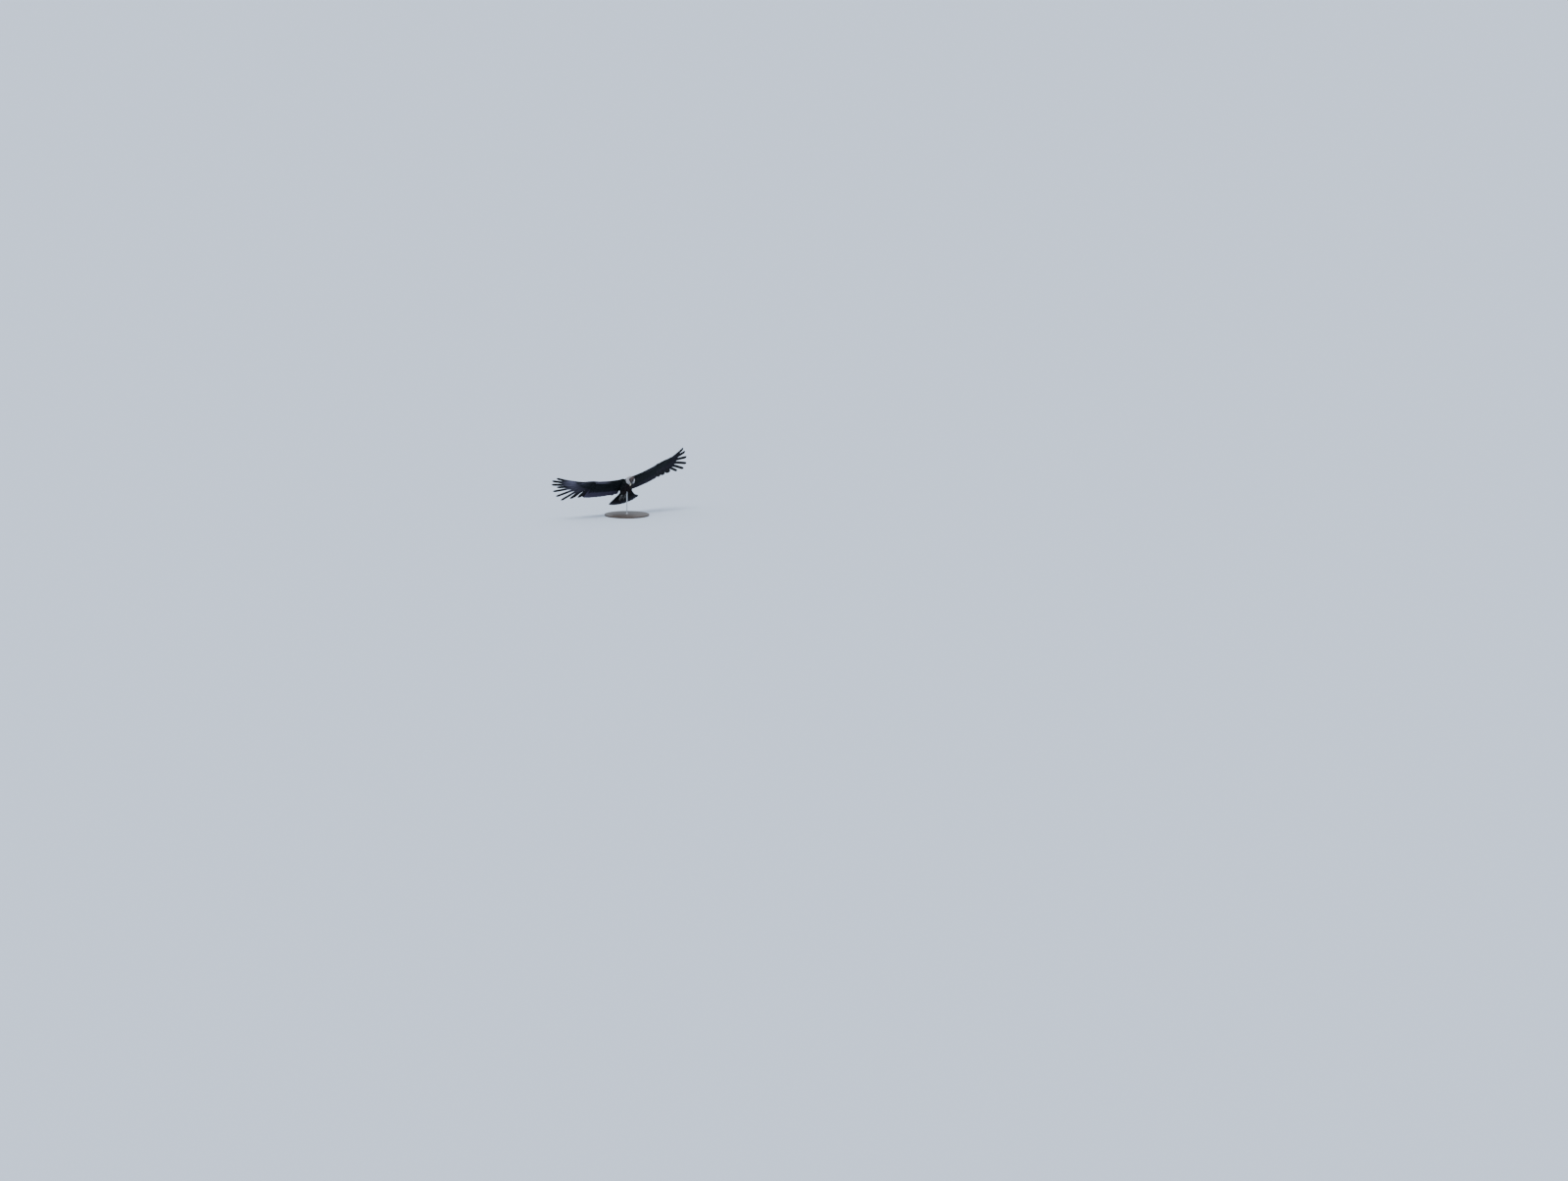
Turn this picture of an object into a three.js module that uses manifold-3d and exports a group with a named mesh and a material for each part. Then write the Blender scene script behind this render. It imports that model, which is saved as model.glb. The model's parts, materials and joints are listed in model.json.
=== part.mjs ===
// Andean condor soaring, life size, on a plain display stand.
// Millimetres, +Z up. The origin is the middle of the stand's underside.
// The bird is built in its own frame, x to its bill, y to its left and z to its back, with the
// middle of the shoulder line at the origin, and is then turned into its soaring pose.
import * as THREE from 'three';
import { mergeVertices } from 'three/addons/utils/BufferGeometryUtils.js';
import Module from 'manifold-3d';

const wasm = await Module();
wasm.setup();

// Gap between pieces that touch.
const GAP = 0.3;

// Pose: where the bird's three axes point, and how high its shoulders are.
const FORWARD = [0.245, -0.611, 0.752];
const LEFT = [0.837, 0.524, 0.154];
const UP = [-0.489, 0.592, 0.641];
const SHOULDER_HEIGHT = 600;

// Wing line: distances run outward from the middle of the back; angles are in radians.
const HALF_SPAN = 1555;
const WING = { root: 62, wrist: 640, tip: 872, rise: 0.10, riseGain: 0.27, risePower: 1.6,
  sweep: 0.06, sweepGain: 0.10 };
const REACH = { right: 1.0, left: 1.06 };
const LEAD_EDGE = [[0, 104], [90, 96], [150, 80], [350, 74], [560, 84], [660, 98], [760, 96],
  [860, 82], [900, 66]];
const TRAIL_EDGE = [[0, 290], [130, 318], [220, 324], [300, 334], [540, 346], [640, 342]];
const QUILL_LINE = [[0, 30], [120, 35], [350, 30], [640, 74], [860, 66]];
const FLESH_DEPTH = [[60, 66], [200, 54], [340, 46], [640, 32], [760, 22], [875, 12]];
const FLESH_BACK = [[60, 150], [340, 140], [600, 128], [700, 96], [872, 26]];
const WRIST_ANGLE = 12;

// Primaries from the wrist out: angle from straight back in degrees, length, upward bend.
const PRIMARIES = {
  right: [[14, 414, 0.06], [22, 444, 0.04], [37, 512, -0.03], [47.5, 608, -0.08], [55, 632, 0.06],
    [62, 636, 0.22], [67, 540, 0.30], [79, 620, 0.20], [84.5, 596, 0.29], [92, 515, 0.30]],
  left: [[12, 418, 0.03], [19.5, 446, 0.0], [28, 468, -0.05], [38, 512, -0.10], [45, 614, -0.17],
    [52.5, 658, -0.28], [59.5, 668, -0.19], [65.5, 658, 0.0], [71, 624, 0.20], [76.5, 560, 0.34]],
};
const PRIMARY_ROOTS = { from: 650, to: 860 };
const SECONDARIES = { count: 18, from: 118, to: 634, innerAngle: 2, outerAngle: 12, bend: 0.02,
  longOne: 15, extra: 16 };
const BEND_POWER = 0.8;
const SHINGLE = 0.08;
const VANE = 1.1;

// Webs of a flight feather: share of its length, half width. Outer primaries narrow past their
// middle, so that the wing's tip parts into fingers.
const FIRST_FINGER = { right: 3, left: 4 };
const FINGER_WEBS = { outer: [[0, 6], [0.16, 20], [0.38, 20], [0.56, 15], [0.92, 13], [1, 3]],
  inner: [[0, 6], [0.16, 40], [0.38, 46], [0.56, 25], [0.92, 19], [1, 3]] };
const BROAD_WEBS = { outer: [[0, 6], [0.16, 20], [0.88, 26], [0.96, 16], [1, 4]],
  inner: [[0, 6], [0.16, 40], [0.88, 50], [0.96, 32], [1, 6]] };
const SECONDARY_WEBS = { outer: [[0, 6], [0.4, 21], [0.9, 24], [1, 8]],
  inner: [[0, 6], [0.4, 42], [0.9, 40], [1, 12]] };

// Tiers of covert feathers: share of the vane count, chord and height of root, middle and tip.
const COVERTS = { from: 150, to: 628, lean: 0.16, roll: 0.06 };
const GREATER_COVERTS = { count: 9, chords: [-62, -112, -208], depthShare: [0, 0, 0], lifts: [4, 8, 6.6],
  half: [9, 31, 10], thick: 1.1 };
const MEDIAN_COVERTS = { count: 6, chords: [-8, -58, -128], depthShare: [0.28, 0.3, 0.1], lifts: [0, 7, 12.5],
  half: [10, 44, 14], thick: 1.2 };
const GREATER_HAND = { every: 1, forward: -8, depthShare: 0.2, lean: 0.035, length: 175, half: 22 };
const MEDIAN_HAND = { every: 3, forward: 2, depthShare: 0.3, lean: 0.075, length: 112, half: 34 };
const ALULA = { span: 652, back: 20, lift: 6, half: 16,
  feathers: [{ out: 0, length: 152, degrees: 62 }, { out: 12, length: 116, degrees: 68 }] };

// Torso rings from the neck back: x, half width, half height, height of the middle.
const TORSO = [
  [158, 44, 43, -102], [142, 64, 62, -96], [110, 90, 84, -83], [62, 110, 99, -68], [5, 119, 104, -55],
  [-55, 118, 100, -47], [-115, 106, 89, -39], [-170, 86, 71, -30], [-222, 64, 48, -19], [-262, 47, 33, -11]];
const TAIL = { base: [-200, 0, 6], radius: 404, halfFan: 0.72, yaw: -0.27, roll: -0.15, pitch: -0.05,
  feathers: 12, layer: 1.7, webs: [[0, 6], [0.35, 24], [0.9, 36], [1, 14]],
  coverts: { count: 7, radius: 236, halfFan: 0.56, webs: [[0, 7], [0.5, 26], [1, 9]],
    over: [5, -1.9], under: [-16.5, 1.2] },
  rump: { rings: [[-262 - GAP, 47, 32, -11], [-290, 50, 25, -8], [-325, 58, 14, -3], [-350, 58, 6, 1]],
    roots: -290, middle: 7, spread: 30, height: -1 } };

const NECK = { start: [157, 0, -102], end: [282, -16, -143], thick: 32, thin: 25, sag: 7,
  folds: 5, fold: 1.6 };
const RUFF = { centre: [166, -1, -107], axis: [0.94, -0.116, -0.316], opening: 0.40,
  core: [[30, -14], [47, -14], [53, 0], [38, 16], [30, 15]],
  tiers: [
    { count: 11, root: [38, -9], middle: [66, -15], tip: [85, -30], wide: 19 },
    { count: 10, root: [36, 0], middle: [62, 4], tip: [83, -5], wide: 19 },
    { count: 9, root: [34, 8], middle: [52, 20], tip: [71, 21], wide: 17 },
  ] };

// Head, in its own frame: x to the bill, y to its left, z to the crown.
const HEAD = { centre: [277, -50, -182], forward: [-0.42, -0.62, -0.66], crown: [1, 0, 0] };
const SKULL = [[-63, 9, 11, -7], [-57, 19, 22, -6], [-44, 27, 30, -2], [-24, 31, 34, 1], [-4, 31, 33, 2],
  [14, 28.5, 29, 0], [30, 22.5, 24, -4], [46, 17, 19, -7], [60, 13.8, 15.8, -8]];
const COMB = [[4, 2, 27, 18], [11, 4.5, 42, 16], [22, 6.2, 56, 12], [35, 7, 62, 8], [48, 6.4, 57, 4],
  [57, 5, 44, 0], [60, 3.6, 36, 2]];
const EYE = { at: [13, 22.3, 6.5], radius: 8.6, lidRadius: 9.6, lidThick: 2.4, lidOut: 4.6,
  lidTurn: 0.22 };
const BROW = { at: [12, 25, 15.5], radii: [15, 5.5, 3.6] };
const NOSTRIL = { at: [49, 16, 3], radii: [6, 5, 2.6] };
const MOUTH = { at: [41, 19.5, -12.6], radii: [24, 4, 1.3] };
const EAR = { at: [-30, 31, -7], radii: [5, 3.5, 4] };
const WATTLES = [{ at: [20, 0, -29], radii: [18, 5, 11] }, { at: [-10, 15, -31], radii: [20, 6, 9] },
  { at: [-10, -15, -31], radii: [20, 6, 9] }];
// Bill rings: x, half width, top and bottom.
const BILL_UPPER = [[60.3, 13.4, 8, -13], [72, 12.6, 9, -14], [86, 11.2, 7, -15], [97, 9, 2, -17],
  [105, 6.4, -6, -22], [110, 4, -15, -29], [111, 1.8, -24, -35]];
const BILL_LOWER = [[60.3, 11.2, -10, -23.5], [74, 10, -11, -24.5], [88, 7.8, -12, -24], [97, 4.6, -14, -22]];

// Legs are folded back under the tail. Left side; the right one is mirrored.
const LEG = [[-62, 58, -106, 24], [-104, 59, -116, 34], [-146, 57, -116, 33], [-182, 53, -106, 21],
  [-206, 49, -95, 12.5], [-246, 44, -78, 9.5], [-282, 42, -64, 11]];
const FOOT = { at: [-294, 42, -60], pad: [15, 12, 10], droop: -0.02,
  toes: [{ turn: -0.30, length: 76 }, { turn: -0.02, length: 112 }, { turn: 0.30, length: 80 }],
  radius: 8.5, claw: 24,
  hind: [[0, 6, 4, 6.5], [10, 14, 16, 6], [26, 17, 26, 4.6], [36, 17, 36, 0.9]] };

const BASE = { radius: 400, thickness: 24, chamfer: 4 };
const ROD = { radius: 9, socketDepth: 78, foot: 34, rim: 5, footHeight: 9, neckHeight: 6,
  entry: [-115, 0, -108] };

const V = (x, y, z) => new THREE.Vector3(x, y, z);
const SIDES = { left: 1, right: -1 };

// Straight-line lookup in a table of [x, value] rows.
function ramp(x, table) {
  if (x <= table[0][0]) return table[0][1];
  for (let i = 1; i < table.length; i++) {
    const [x0, y0] = table[i - 1];
    const [x1, y1] = table[i];
    if (x <= x1) return y0 + (y1 - y0) * (x - x0) / (x1 - x0);
  }
  return table[table.length - 1][1];
}

// Closed solid from points and triangles, turned right side out.
function solidOf(points, triangles) {
  let volume = 0;
  for (const [a, b, c] of triangles) volume += points[a].dot(points[b].clone().cross(points[c]));
  const faces = volume < 0 ? triangles.map(([a, b, c]) => [a, c, b]) : triangles;
  const vertProperties = new Float32Array(points.flatMap((p) => [p.x, p.y, p.z]));
  const triVerts = new Uint32Array(faces.flat());
  return new wasm.Manifold(new wasm.Mesh({ numProp: 3, vertProperties, triVerts }));
}

// Closed solid from a three.js geometry.
function solidFrom(geometry) {
  const g = geometry.clone();
  g.deleteAttribute('normal');
  g.deleteAttribute('uv');
  const merged = mergeVertices(g, 1e-4);
  const position = merged.attributes.position;
  const points = Array.from({ length: position.count }, (_, i) => V().fromBufferAttribute(position, i));
  const faces = [];
  for (let i = 0; i < merged.index.count; i += 3) {
    faces.push([merged.index.getX(i), merged.index.getX(i + 1), merged.index.getX(i + 2)]);
  }
  return solidOf(points, faces);
}

// Loft through rings of equal point count, with flat ends.
function loft(rings) {
  const n = rings[0].length;
  const faces = [];
  for (let i = 0; i + 1 < rings.length; i++) {
    for (let j = 0; j < n; j++) {
      const a = i * n + j;
      const b = i * n + (j + 1) % n;
      faces.push([a, b, b + n], [a, b + n, a + n]);
    }
  }
  const last = (rings.length - 1) * n;
  for (let j = 1; j + 1 < n; j++) faces.push([0, j + 1, j], [last, last + j, last + j + 1]);
  return solidOf(rings.flat(), faces);
}

// Ring of an ellipse that stands across x.
function ellipseRing(x, halfWidth, halfHeight, z, count) {
  return Array.from({ length: count }, (_, j) => {
    const a = 2 * Math.PI * j / count;
    return V(x, halfWidth * Math.cos(a), z + halfHeight * Math.sin(a));
  });
}

// Round tube with its own radius at each point of its middle line.
function tube(points, radii, count) {
  return loft(points.map((p, i) => {
    const before = points[Math.max(i - 1, 0)];
    const after = points[Math.min(i + 1, points.length - 1)];
    const along = after.clone().sub(before).normalize();
    const side = V(0, 1, 0).cross(along).normalize();
    const other = along.clone().cross(side);
    return Array.from({ length: count }, (_, j) => {
      const a = 2 * Math.PI * j / count;
      return p.clone().addScaledVector(side, radii[i] * Math.cos(a))
        .addScaledVector(other, radii[i] * Math.sin(a));
    });
  }));
}

function ellipsoid(centre, radii, wide = 8, high = 6) {
  return solidFrom(new THREE.SphereGeometry(1, wide, high).scale(...radii).translate(...centre));
}

// Box that fills the side of a plane to which the normal points.
function halfSpace(point, normal) {
  const size = 4000;
  const turn = new THREE.Quaternion().setFromUnitVectors(V(0, 0, 1), normal.clone().normalize());
  return solidFrom(new THREE.BoxGeometry(size, size, size).translate(0, 0, size / 2).applyQuaternion(turn)
    .translate(point.x, point.y, point.z));
}

function join(pieces) {
  return pieces.reduce((a, b) => a.add(b));
}

// Named mesh from the largest closed surface of a solid.
function meshOf(name, solid, material) {
  const kept = solid.decompose().sort((a, b) => b.volume() - a.volume())[0];
  const m = kept.getMesh();
  const g = new THREE.BufferGeometry();
  g.setAttribute('position', new THREE.BufferAttribute(new Float32Array(m.vertProperties), 3));
  g.setIndex(Array.from(m.triVerts));
  const mesh = new THREE.Mesh(g, material);
  mesh.name = name;
  return mesh;
}

// Thin strip through stations {outer, inner, normal, thick}, split into triangles alike on both faces.
function strip(stations) {
  const points = [];
  const faces = [];
  for (const { outer, inner, normal, thick } of stations) {
    const half = normal.clone().multiplyScalar(thick / 2);
    points.push(outer.clone().add(half), inner.clone().add(half));
    points.push(inner.clone().sub(half), outer.clone().sub(half));
  }
  for (let i = 0; i + 1 < stations.length; i++) {
    const a = 4 * i;
    const b = a + 4;
    faces.push([a, a + 1, b + 1], [a, b + 1, b]);
    faces.push([a + 3, b + 2, a + 2], [a + 3, b + 3, b + 2]);
    faces.push([a, b, b + 3], [a, b + 3, a + 3]);
    faces.push([a + 1, a + 2, b + 2], [a + 1, b + 2, b + 1]);
  }
  const e = 4 * (stations.length - 1);
  faces.push([0, 3, 2], [0, 2, 1], [e, e + 1, e + 2], [e, e + 2, e + 3]);
  return solidOf(points, faces);
}

// Wing line of one side: a function that gives the place and the outward, forward and upward
// directions at each distance.
function wingLine(side) {
  const step = 10;
  const sign = SIDES[side];
  const rows = [];
  const at = V(0, 0, 0);
  for (let t = 0; t <= 1000; t += step) {
    const u = t / HALF_SPAN;
    const rise = WING.rise + WING.riseGain * u ** WING.risePower;
    const sweep = WING.sweep + WING.sweepGain * u;
    const level = V(0, sign * Math.cos(rise), Math.sin(rise));
    const up = V(0, -sign * Math.sin(rise), Math.cos(rise));
    const out = V(Math.sin(sweep), 0, 0).addScaledVector(level, Math.cos(sweep));
    const fore = V(Math.cos(sweep), 0, 0).addScaledVector(level, -Math.sin(sweep));
    rows.push({ at: at.clone(), out, up, fore });
    at.addScaledVector(out, step * REACH[side]);
  }
  return (t) => {
    const k = Math.min(Math.max(t / step, 0), rows.length - 1.001);
    const i = Math.floor(k);
    const mix = (name) => rows[i][name].clone().lerp(rows[i + 1][name], k - i);
    const [out, up, fore] = ['out', 'up', 'fore'].map((name) => mix(name).normalize());
    return { at: mix('at'), out, up, fore };
  };
}

// Point in the wing's own curved space: along the span, forward on the chord, and up.
function wingPoint(line, span, chord, lift) {
  const s = line(span);
  return s.at.addScaledVector(s.fore, chord).addScaledVector(s.up, lift);
}

// Section of the fleshy part of the wing, from the nose over the top and back underneath.
function fleshSection(line, t) {
  const front = ramp(t, LEAD_EDGE);
  const back = -ramp(t, FLESH_BACK);
  const h = ramp(t, FLESH_DEPTH);
  const mid = front - 0.45 * (front - back);
  const outline = [[front, -0.06 * h], [front - 0.12 * h, 0.2 * h], [front - h, 0.5 * h], [mid, 0.42 * h],
    [back + 30, 0.15 * h], [back, 1.5], [back, -1.5], [back + 34, -0.13 * h], [mid, -0.36 * h],
    [front - 0.9 * h, -0.46 * h], [front - 0.15 * h, -0.3 * h]];
  return outline.map(([chord, lift]) => wingPoint(line, t, chord, lift));
}

// Middle line of a flight feather at the given shares of its length.
function quill(root, frame, degrees, length, lift, shares) {
  const turn = THREE.MathUtils.degToRad(degrees);
  const flat = frame.fore.clone().multiplyScalar(-Math.cos(turn)).addScaledVector(frame.out, Math.sin(turn));
  const across = frame.fore.clone().multiplyScalar(Math.sin(turn)).addScaledVector(frame.out, Math.cos(turn));
  const at = root.clone();
  return shares.map((share, i) => {
    const bend = lift * share ** BEND_POWER;
    if (i > 0) {
      const middle = lift * ((share + shares[i - 1]) / 2) ** BEND_POWER;
      const step = length * (share - shares[i - 1]);
      at.addScaledVector(flat, step * Math.cos(middle)).addScaledVector(frame.up, step * Math.sin(middle));
    }
    const face = frame.up.clone().multiplyScalar(Math.cos(bend)).addScaledVector(flat, -Math.sin(bend));
    return { at: at.clone(), across, face, share };
  });
}

// Flight feather. The webs are tables over its length, and roll lays it on the next one like a
// shingle.
function flightVane(rows, webs, roll) {
  return strip(rows.map(({ at, across, face, share }) => {
    const outer = ramp(share, webs.outer);
    const inner = ramp(share, webs.inner);
    return {
      outer: at.clone().addScaledVector(across, outer).addScaledVector(face, roll * outer),
      inner: at.clone().addScaledVector(across, -inner).addScaledVector(face, -roll * inner),
      normal: face, thick: ramp(share, [[0, 1.8 * VANE], [0.45, VANE], [1, 0.6]]),
    };
  }));
}

// How far out along the hand a primary is rooted.
function primarySpan(i) {
  return PRIMARY_ROOTS.from + (PRIMARY_ROOTS.to - PRIMARY_ROOTS.from) * i / (PRIMARIES.left.length - 1);
}

function primary(line, side, i) {
  const [degrees, length, lift] = PRIMARIES[side][i];
  const t = primarySpan(i);
  const root = wingPoint(line, t, ramp(t, QUILL_LINE), 0);
  const webs = i >= FIRST_FINGER[side] ? FINGER_WEBS : BROAD_WEBS;
  const shares = webs.inner.map(([share]) => share);
  return flightVane(quill(root, line(t), degrees, length, lift, shares), webs, SHINGLE);
}

function secondary(line, i) {
  const { count, from, to, innerAngle, outerAngle, bend, longOne, extra } = SECONDARIES;
  const f = i / (count - 1);
  const t = to + (from - to) * f;
  const degrees = outerAngle + (innerAngle - outerAngle) * f;
  const chord = ramp(t, QUILL_LINE);
  const reach = (chord + ramp(t, TRAIL_EDGE)) / Math.cos(THREE.MathUtils.degToRad(degrees));
  const length = reach + (i === longOne ? extra : 0);
  const shares = SECONDARY_WEBS.inner.map(([share]) => share);
  const rows = quill(wingPoint(line, t, chord, 0), line(t), degrees, length, bend, shares);
  return flightVane(rows, SECONDARY_WEBS, SHINGLE);
}

// One tier of covert feathers over or under the arm; face is +1 on top and -1 underneath.
function armCoverts(line, tier, face) {
  const { count, chords, lifts, half, thick, depthShare } = tier;
  return Array.from({ length: count }, (_, i) => {
    const t = COVERTS.from + (COVERTS.to - COVERTS.from) * (i + (face > 0 ? 0 : 0.5)) / count;
    const h = ramp(t, FLESH_DEPTH);
    return strip(chords.map((chord, k) => {
      const span = t + COVERTS.lean * (chords[0] - chord);
      const lift = face * (lifts[k] + depthShare[k] * h);
      const roll = COVERTS.roll * half[k];
      return {
        outer: wingPoint(line, span + half[k], chord, lift + roll),
        inner: wingPoint(line, span - half[k], chord, lift - roll),
        normal: line(span).up, thick,
      };
    }));
  });
}

// Webs of a small feather, as wide on both sides.
function evenWebs(half, tip) {
  const web = [[0, 6], [0.5, half], [1, tip]];
  return { outer: web, inner: web };
}

// Coverts of the hand lie along the primaries; face is +1 on top and -1 underneath.
function handCoverts(line, side, face, tier) {
  const { every, forward, depthShare, lean, length, half } = tier;
  return PRIMARIES[side].flatMap(([degrees, , rise], i) => {
    if (i % every) return [];
    const t = primarySpan(i);
    const lift = face * depthShare * ramp(t, FLESH_DEPTH);
    const root = wingPoint(line, t, ramp(t, QUILL_LINE) + forward, lift);
    const rows = quill(root, line(t), degrees, length, face * lean + rise * 0.3, [0, 0.5, 1]);
    return [flightVane(rows, evenWebs(half, 9), COVERTS.roll)];
  });
}

// Short stiff feathers at the wrist, laid along the leading edge.
function alula(line) {
  const { span, back, lift, half, feathers } = ALULA;
  return feathers.map(({ out, length, degrees }) => {
    const root = wingPoint(line, span + out, ramp(span, LEAD_EDGE) - back, lift + 0.2 * out);
    const rows = quill(root, line(span + out), degrees, length, 0.05, [0, 0.5, 1]);
    return flightVane(rows, evenWebs(half, 5), COVERTS.roll);
  });
}

// Plane across the wrist, between the outermost secondary and the innermost primary.
function wristPlane(line, offset) {
  const s = line(WING.wrist);
  const a = THREE.MathUtils.degToRad(WRIST_ANGLE);
  const across = s.fore.clone().multiplyScalar(Math.sin(a)).addScaledVector(s.out, Math.cos(a));
  return { point: s.at.addScaledVector(across, offset), across };
}

function wingArm(side) {
  const line = wingLine(side);
  const flesh = loft([WING.root, 130, 230, 350, 500, 680].map((t) => fleshSection(line, t)));
  const secondaries = Array.from({ length: SECONDARIES.count }, (_, i) => secondary(line, i));
  const tiers = [1, -1].flatMap((face) => (
    [GREATER_COVERTS, MEDIAN_COVERTS].flatMap((tier) => armCoverts(line, tier, face))));
  const { point, across } = wristPlane(line, -GAP / 2);
  return join([flesh, ...secondaries, ...tiers]).subtract(halfSpace(point, across));
}

function wingHand(side) {
  const line = wingLine(side);
  const flesh = loft([600, 680, 750, 820, WING.tip].map((t) => fleshSection(line, t)));
  const feathers = PRIMARIES[side].map((_, i) => primary(line, side, i));
  const tiers = [[GREATER_HAND, 1], [GREATER_HAND, -1], [MEDIAN_HAND, 1]]
    .flatMap(([tier, face]) => handCoverts(line, side, face, tier));
  const { point, across } = wristPlane(line, GAP / 2);
  return join([flesh, ...feathers, ...tiers, ...alula(line)]).subtract(halfSpace(point, across.negate()));
}

function torsoSolid(grow = 0) {
  return loft(TORSO.map(([x, w, h, z]) => ellipseRing(x, w + grow, h + grow, z, 16)));
}

// Point in the tail's fan: distance from its base, angle to the left, height over its middle plane.
function tailPoint(radius, angle, lift) {
  const turn = new THREE.Euler(TAIL.roll, TAIL.pitch, TAIL.yaw, 'ZYX');
  return V(-Math.cos(angle) * radius, Math.sin(angle) * radius, lift).applyEuler(turn).add(V(...TAIL.base));
}

// Vane of the tail from a root in the rump to a tip in the fan.
function tailVane(share, depth, tip, webs, forward = 0) {
  const { roots, middle, spread, height } = TAIL.rump;
  const root = V(roots + forward, middle + spread * share, height + depth);
  const normal = tailPoint(0, 0, 1).sub(tailPoint(0, 0, 0));
  const across = tip.clone().sub(root).cross(normal).normalize();
  return strip(webs.map(([f, half]) => {
    const at = root.clone().lerp(tip, f);
    const outer = at.clone().addScaledVector(across, half);
    return { outer, inner: at.addScaledVector(across, -half), normal, thick: VANE };
  }));
}

// Tail feathers; the middle pair lies on top.
function tailFan() {
  const { feathers, halfFan, radius, layer, webs } = TAIL;
  const centre = (feathers - 1) / 2;
  return Array.from({ length: feathers }, (_, i) => {
    const k = i - centre;
    const share = k / centre;
    const depth = -layer * (Math.abs(k) - (k > 0 ? 0 : 0.5));
    const tip = tailPoint(radius * (1 - 0.03 * Math.abs(share)), 0.93 * halfFan * share, depth);
    return tailVane(share, depth, tip, webs);
  });
}

// Coverts over or under the tail: height of the middle one, and how much the next ones rise.
function tailCoverts([lift, lean]) {
  const { count, radius, halfFan, webs } = TAIL.coverts;
  const centre = (count - 1) / 2;
  return Array.from({ length: count }, (_, i) => {
    const share = (i - centre) / centre;
    const height = lift + lean * Math.abs(i - centre);
    const tip = tailPoint(radius * (1 - 0.11 * Math.abs(share)), halfFan * share, height);
    return tailVane(0.9 * share, height, tip, webs, 14);
  });
}

function tail() {
  const { rings } = TAIL.rump;
  const core = loft(rings.map(([x, w, h, z]) => {
    const swing = V(0, TAIL.yaw * (x - rings[0][0]), 0);
    return ellipseRing(x, w, h, z, 12).map((p) => p.add(swing));
  }));
  return join([core, ...tailFan(), ...tailCoverts(TAIL.coverts.over), ...tailCoverts(TAIL.coverts.under)]);
}

// Bare neck with its folds.
function neckSolid(grow = 0) {
  const count = 2 * NECK.folds + 1;
  const start = V(...NECK.start);
  const end = V(...NECK.end);
  const shares = Array.from({ length: count }, (_, i) => i / (count - 1));
  const droop = (f) => V(0, 0, -NECK.sag * Math.sin(Math.PI * f));
  const points = shares.map((f) => start.clone().lerp(end, f).add(droop(f)));
  const fold = (i) => (i % 2 ? NECK.fold : 0);
  const radii = shares.map((f, i) => NECK.thick + (NECK.thin - NECK.thick) * f + fold(i) + grow);
  return tube(points, radii, 12);
}

// Round the ruff's axis: angle from the top to the left, radius, and distance along the axis.
function ruffFrame() {
  const axis = V(...RUFF.axis).normalize();
  const left = V(0, 0, 1).cross(axis).normalize();
  const top = axis.clone().cross(left);
  const point = (angle, radius, along) => V(...RUFF.centre).addScaledVector(axis, along)
    .addScaledVector(left, Math.sin(angle) * radius).addScaledVector(top, Math.cos(angle) * radius);
  return { axis, left, top, point };
}

// One tapered lock of the collar, from a wide root to a narrow tip that swings a little aside.
function ruffLock({ axis, point }, tier, angle, swing, reach) {
  const { root, middle, tip, wide } = tier;
  const stations = [
    { at: root, wide: 0.6 * wide, thick: 7, swing: 0, shingle: 0.4 },
    { at: middle, wide, thick: 6, swing, shingle: 1.6 },
    { at: [tip[0] * reach, tip[1]], wide: 0.28 * wide, thick: 1.6, swing: 2 * swing, shingle: 0.4 },
  ];
  return strip(stations.map(({ at: [radius, along], wide: half, thick, swing: aside, shingle }) => ({
    outer: point(angle + aside + half / radius, radius, along + shingle),
    inner: point(angle + aside - half / radius, radius, along - shingle),
    normal: axis, thick,
  })));
}

// White collar: a narrow core and tiers of locks that part at the throat.
function ruff() {
  const frame = ruffFrame();
  const { axis, left, top } = frame;
  const profile = [...RUFF.core, RUFF.core[0]].map(([r, along]) => new THREE.Vector2(r, along));
  const core = solidFrom(new THREE.LatheGeometry(profile, 16)
    .applyMatrix4(new THREE.Matrix4().makeBasis(top, axis, left).setPosition(...RUFF.centre)));
  const free = Math.PI - RUFF.opening;
  const locks = RUFF.tiers.flatMap((tier, n) => Array.from({ length: tier.count }, (_, i) => {
    const angle = -free + 2 * free * (i + 0.5 * (n % 2)) / (tier.count - 0.5);
    const swing = 0.05 * Math.sin(5 * i + n);
    const reach = 1 + 0.05 * Math.sin(7 * i + 2 * n);
    return ruffLock(frame, tier, angle, swing, reach);
  }));
  return join([core, ...locks]);
}

// Turns a solid of the head's frame into the bird's frame.
function onHead(solid) {
  const f = V(...HEAD.forward).normalize();
  const u = V(...HEAD.crown);
  u.addScaledVector(f, -u.dot(f)).normalize();
  const l = u.clone().cross(f);
  return solid.transform(new THREE.Matrix4().makeBasis(f, l, u).setPosition(...HEAD.centre).elements);
}

function skull(grow = 0) {
  return loft(SKULL.map(([x, w, h, z]) => ellipseRing(x, w + grow, h + grow, z, 14)));
}

function billRings(rows, grow, count) {
  return loft(rows.map(([x, w, top, bottom]) => ellipseRing(x, w + grow, (top - bottom) / 2 + grow,
    (top + bottom) / 2, count)));
}

function eyeball(sign, grow = 0) {
  const r = EYE.radius + grow;
  return ellipsoid([EYE.at[0], sign * EYE.at[1], EYE.at[2]], [r, r, r], 10, 8);
}

function mirrored([x, y, z], sign) {
  return [x, sign * y, z];
}

function wattles(grow = 0) {
  return WATTLES.map(({ at, radii }) => ellipsoid(at, radii.map((r) => r + grow)));
}

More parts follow.
